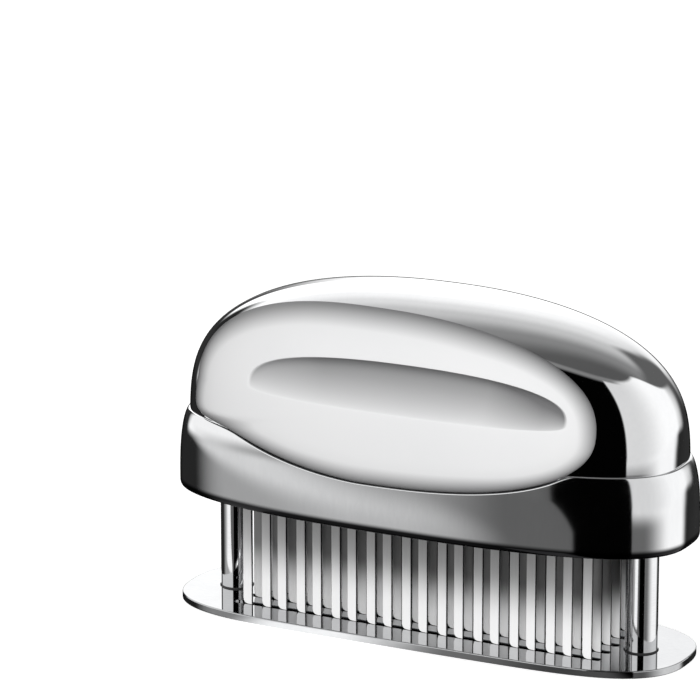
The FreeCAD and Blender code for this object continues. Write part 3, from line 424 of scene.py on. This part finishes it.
def satin_material():
    """Blasted pearl finish of the grip pads, with painted shade that darkens it towards the pad's edge and in the
    finger groove.
    """
    m, t, b = material("satin_grip")
    plain = t.stretched((1, 1, 1))
    fine = t.noise(plain, 2600.0, 2.0, 0.6)
    soft = t.noise(plain, 30.0, 4.0, 0.55)
    tone = t.math("ADD", t.math("MULTIPLY", t.ramp01(soft, 0.3, 0.7), 0.6), t.math("MULTIPLY", fine, 0.4), clamp=True)
    # painted shade: the colour darkens towards the pad's rim
    at = t.node("ShaderNodeAttribute", attribute_name="rim_shade")
    rim = t.math("ADD", at.outputs["Fac"], t.math("MULTIPLY", t.math("SUBTRACT", soft, 0.5), 0.06), clamp=True)
    blasted_and_shade = t.mix((0.84, 0.843, 0.85), (0.88, 0.88, 0.883), tone)
    # painted shade in the finger groove, darkest under its roof
    deep = t.node("ShaderNodeAttribute", attribute_name="groove_shade")
    blasted_and_shade = t.mix(blasted_and_shade, (0.18, 0.18, 0.183), deep.outputs["Fac"])
    t.put(b.inputs["Base Color"], t.mix(blasted_and_shade, (0.13, 0.13, 0.133), rim))
    t.put(b.inputs["Metallic"], 0.0)
    t.put(b.inputs["Roughness"], t.linear(tone, 0, 1, 0.50, 0.42))
    b.inputs["Specular IOR Level"].default_value = 0.25
    bn = t.node("ShaderNodeBump")
    bn.inputs["Distance"].default_value = 4.0e-6
    t.put(bn.inputs["Height"], fine)
    t.put(b.inputs["Normal"], bn.outputs[0])
    return m


satin = satin_material()


# ------------------------------------------------------------ upper shell: mirror dome with its inner wall
def make_dome():
    count, rows = 384, 120
    th = even_angles(72.14, 26.41, 2.58, 2.84, count)
    c, s = np.cos(th), np.sin(th)

    def rings(off, low, k):
        high = CROWN - off
        zz = [low, (low + SHOULDER) / 2, SHOULDER - 0.7, SHOULDER]
        for i in range(1, k):
            q = i / k
            zz.append(SHOULDER + (high - SHOULDER) * (1 - (1 - q) ** 2.1))
        pts = []
        for z in zz:
            a, b, n, m = section(np.float64(z), off)
            pts.append(np.stack([a * sgnpow(c, 2 / n), b * sgnpow(s, 2 / m), np.full(count, z)], 1))
        return np.concatenate(pts), len(zz), high

    outer, ro, hi = rings(0.0, 41.1, rows)
    inner, ri, hi2 = rings(2.6, 41.1, 40)
    # behind the grip pads the wall is let in, so that nothing of it shows in the finger grooves
    x, z = outer[:, 0], outer[:, 2]
    let = np.clip((0.982 - pad_rho(x, z)) / 0.04, 0, 1)
    let = 2.3 * let * let * (3 - 2 * let) * (z > SHOULDER - 20)
    ny, nz = dome_tilt(x, z)
    outer[:, 1] -= np.sign(outer[:, 1]) * let * ny
    outer[:, 2] -= let * nz
    verts = np.concatenate([outer, [[0, 0, hi]], inner, [[0, 0, hi2]]])
    faces = grid_faces(ro, count)
    top = ro * count
    faces += [((ro - 1) * count + j, (ro - 1) * count + (j + 1) % count, top) for j in range(count)]
    b0 = top + 1
    faces += grid_faces(ri, count, b0, flip=True)
    top2 = b0 + ri * count
    faces += [(b0 + (ri - 1) * count + (j + 1) % count, b0 + (ri - 1) * count + j, top2) for j in range(count)]
    faces += [(j, b0 + j, b0 + (j + 1) % count, (j + 1) % count) for j in range(count)]
    ob = mesh_object("grip_dome", verts, faces)
    ob.data.materials.append(chrome)
    return ob


# ------------------------------------------------------------ grip pads with finger grooves
def oval_xz(t, x, z, a, up, down, n_up, n_low):
    c, s = np.cos(t), np.sin(t)
    n = np.where(s > 0, n_up, n_low)
    h = np.where(s > 0, up, down)
    return np.stack([x + a * sgnpow(c, 2 / n), z + h * sgnpow(s, 2 / n)], 1)


def make_pad(name, sign):
    count = 320
    t = np.linspace(0, 2 * math.pi, 20001)
    k = reach(PAD["x"], PAD["z"], np.cos(t), 0.4 * np.sin(t))
    rim = np.stack([PAD["x"] + k * np.cos(t), PAD["z"] + k * 0.4 * np.sin(t)], 1)
    s = np.concatenate([[0], np.cumsum(np.hypot(*np.diff(rim, axis=0).T))])
    even = np.arange(count) / count * s[-1]
    P = np.stack([np.interp(even, s, rim[:, 0]), np.interp(even, s, rim[:, 1])], 1)
    # groove rim points, matched to the pad rim by share of length
    g = oval_xz(t, GR["x"], GR["z"], GR["a"], GR["up"], GR["down"], GR["n_up"], GR["n_low"])
    sg = np.concatenate([[0], np.cumsum(np.hypot(*np.diff(g, axis=0).T))])
    eg = np.arange(count) / count * sg[-1]
    G = np.stack([np.interp(eg, sg, g[:, 0]), np.interp(eg, sg, g[:, 1])], 1)
    core = np.stack([GR["x"] + (G[:, 0] - GR["x"]) * 0.80, GR["z"] + 3.6 + (G[:, 1] - GR["z"] - 3.6) * 0.12], 1)
    rows = []
    # groove floor, from its core line out to its rim
    for q in 1 - (1 - np.linspace(0, 1, 30)) ** 1.5:
        rows.append(core + (G - core) * q)
    # pad face, from the groove rim to the pad rim, closer together at both
    for q in list(0.022 * np.array([0.25, 0.6, 1.0, 1.6])) + list(np.linspace(0.06, 0.86, 24)) + \
            list(1 - 0.14 * (1 - np.linspace(0, 1, 26)[1:]) ** 2.0):
        rows.append(G + (P - G) * q)
    flat = np.concatenate(rows)
    x, z = flat[:, 0], flat[:, 1]
    ny, nz = dome_tilt(x, z)
    rise = pad_rise(x, z)
    rise[-count:] = -0.25
    y = dome_y(x, z) + rise * ny - groove_depth(x, z) - 0.01
    zz = z + rise * nz
    verts = np.stack([x, y * sign, zz], 1)
    n = len(rows)
    faces = grid_faces(n, count, flip=sign > 0)
    # close the back of the pad inside the shell wall
    back = verts[-count:].copy()
    back[:, 1] -= sign * 1.2
    verts = np.concatenate([verts, back])
    faces += [tuple(f) for f in np.array(grid_faces(2, count, (n - 1) * count, flip=sign > 0))]
    # the core line is a slit of doubled points: cap it with its own faces
    half = count // 2
    for j in range(1, half):
        a, b = j, (count - j) % count
        a2, b2 = j + 1, (count - j - 1) % count
        if j + 1 <= half:
            f = (a, a2, b2, b)
            if len(set(f)) == 4:
                faces.append(f if sign > 0 else f[::-1])
    ob = mesh_object(name, verts, faces)
    r = pad_rho(x, z)
    dist = (1 - r) / pad_slope(x, z)
    # painted shade towards the pad's rim, over a wider strip along the top and the left end
    top = np.clip((z - 62) / 18, 0, 1)
    left = np.clip((-30 - x) / 25, 0, 1)
    right = np.clip((x - 22) / 25, 0, 1)
    low = np.clip((62 - z) / 10, 0, 1)
    rim_closeness = np.clip(1 - dist / (4.8 + 1.2 * top + 0.9 * left - 1.4 * right + 0.8 * low), 0, 1) ** 1.1
    rim_shade = rim_closeness * (0.62 + 0.38 * np.maximum(np.maximum(top, left), low))
    paint(ob, "rim_shade", np.concatenate([rim_shade, np.ones(count)])[: len(ob.data.vertices)])
    # painted shade in the hollow of the groove, darkest under its roof
    u, r, k = groove_place(x, z)
    groove_shade = np.clip((k + 1) / 2, 0, 1) ** 0.68 * (0.75 + 0.25 * np.clip((x - GR["x"] + GR["a"]) / 22, 0, 1))
    groove_shade = np.clip((1.0 - r) / 0.02, 0, 1) * np.minimum(groove_shade + 0.25 * np.clip((x - 26) / 16, 0, 1), 1.0)
    paint(ob, "groove_shade", np.concatenate([groove_shade, np.zeros(count)])[: len(ob.data.vertices)])
    ob.data.materials.append(satin)
    return ob


# ------------------------------------------------------------ skirt band with rounded rim and foot
def make_skirt():
    count = 420
    th = even_angles(SK["a"], SK["b"], SK["n"], SK["m"], count)
    c, s = np.cos(th), np.sin(th)

    def at(z, off):
        # upright at the foot, curving in to meet the dome at the shoulder
        k = np.clip((z - SK["from_z"]) / (SHOULDER - SK["from_z"]), 0, 1)
        d = 1 - (1 - k ** SK["p"]) ** SK["q"]
        a, b = SK["a"] - SK["in_a"] * d - off, SK["b"] - SK["in_b"] * d - off
        return np.stack([a * sgnpow(c, 2 / SK["n"]), b * sgnpow(s, 2 / SK["m"]), z], 1)

    zb = np.full(count, SK["low"])
    top = seam_z(at(np.full(count, SHOULDER), 0.0)[:, 0]) - 0.03
    w, rf, rr = SK["wall"], 1.4, 0.3
    rows = []
    # inner wall from the foot up, the flange, then over the rim and down the outside
    rows += [(zb + 0.0, np.full(count, w - 0.35)), (zb + 0.25, np.full(count, w - 0.05)), (zb + 1.0, np.full(count, w))]
    rows += [(np.full(count, 41.05), np.full(count, w)), (np.full(count, 41.05), np.full(count, 3.9)),
             (np.full(count, 42.55), np.full(count, 3.9)), (np.full(count, 42.55), np.full(count, w))]
    rows += [(top - 2.0, np.full(count, w)), (top - 0.1, np.full(count, w)), (top, np.full(count, w - 0.12))]

    def crown(z):
        return np.full(count, 0.02)

    for i in range(1, 9):
        f = math.pi / 2 * i / 8
        rows.append((top - rr * (1 - math.cos(f)), rr * (1 - math.sin(f)) + crown(top)))
    for i in range(1, 60):
        k = (i / 60) ** 1.6
        z = (top - rr) + (zb + rf - (top - rr)) * k
        rows.append((z, crown(z)))
    for i in range(0, 15):
        f = math.pi / 2 * i / 14
        rows.append((zb + rf * (1 - math.sin(f)), np.full(count, 0.02 + 0.55 * (1 - math.cos(f)))))
    rows.append((zb.copy(), np.full(count, w * 0.5)))
    pts = np.concatenate([at(z, off) for z, off in rows])
    n = len(rows)
    faces = grid_faces(n, count)
    faces += [((n - 1) * count + j, (n - 1) * count + (j + 1) % count, (j + 1) % count, j) for j in range(count)]
    ob = mesh_object("skirt_band", pts, faces)
    bm = bmesh.new()
    bm.from_mesh(ob.data)
    bmesh.ops.recalc_face_normals(bm, faces=bm.faces)
    bm.to_mesh(ob.data)
    bm.free()
    ob.data.materials.append(skirt_mat)
    return ob


# ------------------------------------------------------------ twin blades with rounded corners
def make_blades(k):
    w, lp, top, low = 2.55, 5.81, 41.0, 39.6
    tip = [(0.0, 1.7), (0.05, 1.3), (0.13, 1.0), (0.25, 0.75), (0.42, 0.5), (0.64, 0.32), (0.9, 0.2), (1.3, 0.09), (w, 0.0)]
    outline = [(0.0, top - 0.4)] + [(x, 1.9 + z) for x, z in tip] + [(w, low)]
    outline += [(lp, low)] + [(lp + x, 1.9 + z) for x, z in tip] + [(lp + w, top - 0.4), (lp + w - 0.4, top), (0.4, top)]
    bm = bmesh.new()
    vs = [bm.verts.new((x * MM, -0.45 * MM, z * MM)) for x, z in outline]
    f = bm.faces.new(vs)
    out = bmesh.ops.extrude_face_region(bm, geom=[f])
    moved = [v for v in out["geom"] if isinstance(v, bmesh.types.BMVert)]
    bmesh.ops.translate(bm, vec=(0, 0.9 * MM, 0), verts=moved)
    bmesh.ops.recalc_face_normals(bm, faces=bm.faces)
    edges = [e for e in bm.edges if abs(e.verts[0].co.y - e.verts[1].co.y) < 1e-7 or
             (abs(e.verts[0].co.x - e.verts[1].co.x) < 1e-7 and e.calc_face_angle(0) > 0.7)]
    for f in bm.faces:
        f.normal_update()
        f.material_index = 1 if abs(f.normal.x) > 0.7 else 0
    bmesh.ops.bevel(bm, geom=edges, offset=0.09 * MM, segments=2, profile=0.6, affect="EDGES", clamp_overlap=True)
    me = bpy.data.meshes.new("twin")
    bm.to_mesh(me)
    bm.free()
    one = np.empty(len(me.vertices) * 3)
    me.vertices.foreach_get("co", one)
    one = one.reshape(-1, 3) / MM
    polys = [tuple(p.vertices) for p in me.polygons]
    kinds = [p.material_index for p in me.polygons]
    verts, faces = [], []
    for i in range(10):
        base = i * len(one)
        v = one + np.array([-52.375 + 10.71 * i, 6.4 * (k - 2), 0.0])
        verts.append(v)
        faces += [tuple(a + base for a in p) for p in polys]
    ob = mesh_object("blades_%d" % (k + 1), np.concatenate(verts), faces, smooth=False)
    bpy.data.meshes.remove(me)
    ob.data.materials.append(blade_mat if k in (0, 4) else blade_inner_mat)
    ob.data.materials.append(blade_side_mat)
    if len(ob.data.polygons) == 10 * len(kinds):
        ob.data.polygons.foreach_set("material_index", kinds * 10)
    return ob


# ------------------------------------------------------------ coil springs inside the posts
def make_spring(name, x):
    turns, seg, around, r, wire = 17, 30, 10, 2.7, 0.4
    z0, z1 = 12.05 + wire, 75.6 - wire
    n = turns * seg
    a = 2 * math.pi * np.arange(n + 1) / seg
    # the turns are evenly open from end to end
    k = np.arange(n + 1) / n
    ease = np.clip(k, 0, 1)
    z = z0 + (z1 - z0) * ease
    centre = np.stack([x + r * np.cos(a), r * np.sin(a), z], 1)
    radial = np.stack([np.cos(a), np.sin(a), np.zeros_like(a)], 1)
    verts = []
    for j in range(around):
        f = 2 * math.pi * j / around
        verts.append(centre + wire * (math.cos(f) * radial + math.sin(f) * np.array([0, 0, 1.0])))
    verts = np.stack(verts, 1).reshape(-1, 3)
    faces = grid_faces(n + 1, around)
    faces.append(tuple(range(around)))
    faces.append(tuple(reversed(range(n * around, (n + 1) * around))))
    ob = mesh_object(name, verts, faces)
    ob.data.materials.append(spring_mat)
    return ob


dome = make_dome()
pad_f = make_pad("grip_pad_front", -1)
pad_b = make_pad("grip_pad_back", 1)
skirt = make_skirt()
for ob in (dome, pad_f, pad_b):
    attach(ob, "handle")
    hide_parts("upper_shell")
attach(skirt, "handle")
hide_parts("skirt_shell")
for k in range(5):
    ob = make_blades(k)
    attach(ob, "handle")
    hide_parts("blade_row_%d" % (k + 1))
for side, x in (("left", -61.28), ("right", 61.28)):
    ob = make_spring("coil_spring_" + side, x)
    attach(ob, "guard")
    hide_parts("return_spring_" + side)
    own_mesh(ob)

# ------------------------------------------------------------ finishes of the CAD nodes that stay
FINISH = {
    "guard_plate": plate_mat, "guide_post_left": post_mat, "guide_post_right": post_mat,
    "post_seal_ring_left": rubber_mat, "post_seal_ring_right": rubber_mat, "post_screws": screw_mat,
    "retaining_rings": spring_mat, "blade_carrier": carrier_mat, "blade_clamp_plate": inner_mat,
    "bottom_cover": cover_mat, "guide_bush_left": bush_mat, "guide_bush_right": bush_mat,
    "carrier_screws": screw_mat, "clamp_screws": screw_mat, "cover_screws": screw_mat,
    "spring_cup_left": bush_mat, "spring_cup_right": bush_mat,
}
for name, mat in FINISH.items():
    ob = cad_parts[name]
    if not ob.material_slots:
        ob.data.materials.append(mat)
    for sl in ob.material_slots:
        sl.material = mat

# ------------------------------------------------------------ camera
cam_data = bpy.data.cameras.new("camera")
cam = bpy.data.objects.new("camera", cam_data)
scene.collection.objects.link(cam)
eye, aim = Vector((0.53403, -1.12803, 0.43340)), Vector((-0.0244, -0.00335, 0.0784))
cam.location = eye
cam.rotation_euler = (aim - eye).to_track_quat("-Z", "Y").to_euler()
cam_data.lens = 247.2
cam_data.sensor_width = 36.0
cam_data.clip_end = 50.0
scene.camera = cam


# ------------------------------------------------------------ stage: floor, studio surround, soft lights
def make_floor():
    s = 6000.0
    ob = mesh_object("floor", [(-s, -s, -0.05), (s, -s, -0.05), (s, s, -0.05), (-s, s, -0.05)], [(0, 1, 2, 3)], smooth=False)
    m, t, b = material("pale_floor")
    b.inputs["Base Color"].default_value = (0.96, 0.96, 0.96, 1)
    b.inputs["Roughness"].default_value = 0.7
    b.inputs["Specular IOR Level"].default_value = 0.1
    # a lit table top
    b.inputs["Emission Color"].default_value = (1, 1, 1, 1)
    b.inputs["Emission Strength"].default_value = 0.62
    ob.data.materials.append(m)
    ob.visible_glossy = False
    ob.visible_diffuse = False
    return ob


floor = make_floor()


def make_world():
    w = bpy.data.worlds.new("studio")
    scene.world = w
    w.use_nodes = True
    w.cycles.sampling_method = "NONE"
    t = Tree(w.node_tree)
    out = t.node("ShaderNodeOutputWorld")
    tc = t.node("ShaderNodeTexCoord")
    sp = t.node("ShaderNodeSeparateXYZ")
    t.put(sp.inputs[0], tc.outputs["Generated"])
    dx, dy, dz = sp.outputs
    az = t.math("MULTIPLY", t.math("ARCTAN2", dx, t.math("MULTIPLY", dy, -1.0)), 57.29578)
    el = t.math("MULTIPLY", t.math("ARCSINE", dz), 57.29578)
    # ceiling: bright at the back left, falling off to the front right
    side = t.math("SUBTRACT", dy, dx)
    L = t.curve(side, -1.5, 1.5, [(-1.5, 0.09), (-0.5, 0.10), (0.0, 0.25), (0.5, 0.58), (0.8, 0.80), (1.05, 1.05), (1.3, 1.6)])
    # front panel
    lift = t.math("SUBTRACT", el, t.ramp01(az, -45, -15, 0.0, 8.0))
    panel = t.math("MULTIPLY", t.ramp01(lift, -11, -1), t.ramp01(el, 45, 55, 1.0, 0.0))
    L = t.lay(L, 0.13, t.math("MULTIPLY", t.window(az, -45, -3, 12, 3), t.ramp01(el, 2, 12, 1.0, 0.0)))
    L = t.lay(L, 1.0, t.math("MULTIPLY", t.window(az, -104, -3, 5, 3), panel))
    # narrow flag on the left
    L = t.lay(L, 0.02, t.math("MULTIPLY", t.window(az, -129, -103, 4, 7), t.ramp01(el, 20, 32, 1.0, 0.0)))
    # dark skirting round the back of the studio
    L = t.lay(L, 0.03, t.math("MULTIPLY", t.window(az, -150, -110, 6, 7), t.ramp01(el, 5, 12, 1.0, 0.0)))
    L = t.lay(L, 0.16, t.math("MULTIPLY", t.ramp01(az, -140, -150), t.ramp01(el, -3, 4, 1.0, 0.0)))
    L = t.lay(L, 0.16, t.math("MULTIPLY", t.ramp01(az, 172, 178), t.ramp01(el, -3, 4, 1.0, 0.0)))
    # flag at the back right, then the right soft box, whose upper edge falls away to the back
    L = t.lay(L, 0.12, t.math("MULTIPLY", t.window(az, 112, 172, 14, 4), t.window(el, 10, 42, 6, 7)))
    over = t.math("SUBTRACT", el, t.ramp01(az, 105, 165, 54.0, 12.0))
    L = t.lay(L, t.ramp01(az, 55, 120, 0.74, 1.08), t.math("MULTIPLY", t.ramp01(az, 39.5, 41.5), t.ramp01(over, -1.5, 2.5, 1.0, 0.0)))
    L = t.lay(L, 0.12, t.math("MULTIPLY", t.window(az, 155, 172, 7, 6), t.ramp01(el, 32, 46, 1.0, 0.0)))
    # below the horizon: a grey sweep on the left with a brighter panel on it, whose lower edge runs
    # aslant, and a bright panel on the right
    F = t.lay(0.02, t.lay(0.38, 0.12, t.ramp01(az, -30, -12)), t.ramp01(az, -84, -56))
    slant = t.math("MULTIPLY_ADD", t.math("MINIMUM", t.math("ADD", el, 10.5), 0.0), 7.0, az)
    right = t.math("MULTIPLY_ADD", t.math("ADD", el, 16.0), 1.8, az)
    F = t.lay(F, 0.72, t.math("MULTIPLY", t.ramp01(slant, -93, -65), t.ramp01(right, -34, -15, 1.0, 0.0)))
    F = t.lay(F, t.ramp01(el, -15.5, -9.5, 0.14, 0.74), t.ramp01(az, 38, 41))
    F = t.lay(F, 1.05, t.window(az, 78, 143, 26, 8))
    F = t.lay(F, 0.02, t.ramp01(az, 143, 153))
    F = t.lay(F, 0.002, t.ramp01(az, -145, -112, 1.0, 0.0))
    L = t.lay(L, F, t.ramp01(el, -11.0, -7.0, 1.0, 0.0))
    L = t.lay(L, 0.03, t.math("MULTIPLY", t.ramp01(az, 150, 162), t.ramp01(el, -9, 14, 1.0, 0.0)))
    L = t.lay(L, 0.03, t.ramp01(el, -60, -32, 1.0, 0.0))
    # black flag in front of the right end, with a thin light seam above it
    L = t.lay(L, 0.22, t.math("MULTIPLY", t.window(az, -8, 60, 6, 10), t.window(el, 51.5, 56, 1.2, 1.6)))
    left = t.linear(el, -16.5, -9.0, 4.5, -2.0)
    flag = t.math("MULTIPLY", t.ramp01(t.math("SUBTRACT", az, left), -0.8, 0.8), t.ramp01(az, 39.0, 40.5, 1.0, 0.0))
    L = t.lay(L, 0.0006, t.math("MULTIPLY", flag, t.ramp01(el, 49.0, 51.0, 1.0, 0.0)))
    lp = t.node("ShaderNodeLightPath")
    # plain light for diffuse surfaces
    soft = t.curve(el, -90, 90, [(-90, 0.05), (0, 0.10), (22, 0.18), (50, 0.42), (90, 0.85)])
    # and a wide soft panel behind the object, for its back
    behind = t.math("MULTIPLY", t.window(az, -115, 115, 25, 25), -0.45)
    behind = t.math("MULTIPLY", t.math("ADD", behind, 0.45), t.window(el, -15, 50, 10, 15))
    soft = t.math("ADD", soft, behind)
    L = t.lay(soft, L, lp.outputs["Is Glossy Ray"])
    L = t.lay(L, 1.0, lp.outputs["Is Camera Ray"])
    bg = t.node("ShaderNodeBackground")
    t.put(bg.inputs["Color"], L)
    t.put(out.inputs["Surface"], bg.outputs[0])


make_world()


def area(name, at, to, size, power, glossy=False):
    d = bpy.data.lights.new(name, "AREA")
    d.shape = "RECTANGLE"
    d.size, d.size_y = size
    d.energy = power
    ob = bpy.data.objects.new(name, d)
    scene.collection.objects.link(ob)
    ob.location = at
    ob.rotation_euler = (Vector(to) - Vector(at)).to_track_quat("-Z", "Y").to_euler()
    ob.visible_glossy = glossy
    return ob


area("key_front", (0.05, -1.54, 0.60), (0, 0, 0.06), (1.2, 0.9), 12.0)
# low fill, which reaches in under the skirt to the blades
area("fill_low", (0.50, -1.02, 0.10), (0, 0, 0.02), (0.6, 0.18), 5.6)


def make_apron():
    """Narrow card in front of the plate, bright on the left and dark on the right, which only polished
    metal sees: it shapes the long edge of the plate."""
    ob = mesh_object("edge_card", [(-60, -34, -0.03), (84, -34, -0.03), (84, -14.0, -0.03), (-60, -14.0, -0.03)],
                     [(0, 1, 2, 3)], smooth=False)
    m = bpy.data.materials.new("edge_card")
    m.use_nodes = True
    t = Tree(m.node_tree)
    out = t.node("ShaderNodeOutputMaterial")
    tc = t.node("ShaderNodeTexCoord")
    sp = t.node("ShaderNodeSeparateXYZ")
    t.put(sp.inputs[0], tc.outputs["Object"])
    x, y, z = sp.outputs
    glow = t.curve(x, -0.07, 0.09, [(-0.07, 1.7), (-0.025, 1.7), (0.015, 0.26), (0.045, 0.09), (0.060, 0.12)])
    cover = t.math("MULTIPLY", t.ramp01(y, -0.033, -0.028), t.window(x, -0.047, 0.064, 0.008, 0.004))
    em = t.node("ShaderNodeEmission")
    t.put(em.inputs["Color"], glow)
    tr = t.node("ShaderNodeBsdfTransparent")
    mx = t.node("ShaderNodeMixShader")
    t.put(mx.inputs[0], cover)
    t.put(mx.inputs[1], tr.outputs[0])
    t.put(mx.inputs[2], em.outputs[0])
    t.put(out.inputs["Surface"], mx.outputs[0])
    ob.data.materials.append(m)
    for flag in ("visible_camera", "visible_diffuse", "visible_shadow", "visible_transmission", "visible_volume_scatter"):
        setattr(ob, flag, False)
    return ob


make_apron()


def make_post_cards():
    """Two narrow fans of light on the table, one in front of each guide post, which only polished metal
    sees: each puts an upright stripe of light on its post."""
    ob = mesh_object("post_cards", [(-180, -125, -0.04), (84, -125, -0.04), (84, -22, -0.04), (-180, -22, -0.04)],
                     [(0, 1, 2, 3)], smooth=False)
    m = bpy.data.materials.new("post_cards")
    m.use_nodes = True
    t = Tree(m.node_tree)
    out = t.node("ShaderNodeOutputMaterial")
    tc = t.node("ShaderNodeTexCoord")
    sp = t.node("ShaderNodeSeparateXYZ")
    t.put(sp.inputs[0], tc.outputs["Object"])
    x, y, z = sp.outputs
    ahead = t.math("MULTIPLY", y, -1.0)
    # the blades look past the fans: this is how far a place lies beside their line of view
    aside = t.math("MULTIPLY_ADD", t.math("SUBTRACT", ahead, 0.0128), 0.487, x)
    fans = []
    away = t.math("POWER", ahead, 2.0)
    for px, lo, hi in ((-0.06128, -46, -4), (0.06128, -50, -6)):
        turn = t.math("MULTIPLY", t.math("ARCTAN2", t.math("SUBTRACT", x, px), ahead), 57.29578)
        fan = t.window(turn, lo, hi, 12, 3)
        # each ends short of where the skirt could see it
        beside = t.math("SUBTRACT", x, px)
        far = t.math("SQRT", t.math("MULTIPLY_ADD", beside, beside, away))
        fan = t.math("MULTIPLY", fan, t.ramp01(far, 0.104, 0.112, 1.0, 0.0))
        if px < 0:
            fan = t.math("MULTIPLY", fan, t.ramp01(aside, -0.056, -0.053, 1.0, 0.0))
        else:
            fan = t.math("MULTIPLY", fan, t.ramp01(aside, 0.0530, 0.0550))
        fans.append(fan)
    cover = t.math("MULTIPLY", t.math("MAXIMUM", fans[0], fans[1]), t.ramp01(ahead, 0.022, 0.026))
    em = t.node("ShaderNodeEmission")
    em.inputs["Color"].default_value = (1, 1, 1, 1)
    em.inputs["Strength"].default_value = 1.05
    tr = t.node("ShaderNodeBsdfTransparent")
    mx = t.node("ShaderNodeMixShader")
    t.put(mx.inputs[0], cover)
    t.put(mx.inputs[1], tr.outputs[0])
    t.put(mx.inputs[2], em.outputs[0])
    t.put(out.inputs["Surface"], mx.outputs[0])
    ob.data.materials.append(m)
    for flag in ("visible_camera", "visible_diffuse", "visible_shadow", "visible_transmission", "visible_volume_scatter"):
        setattr(ob, flag, False)
    return ob


make_post_cards()
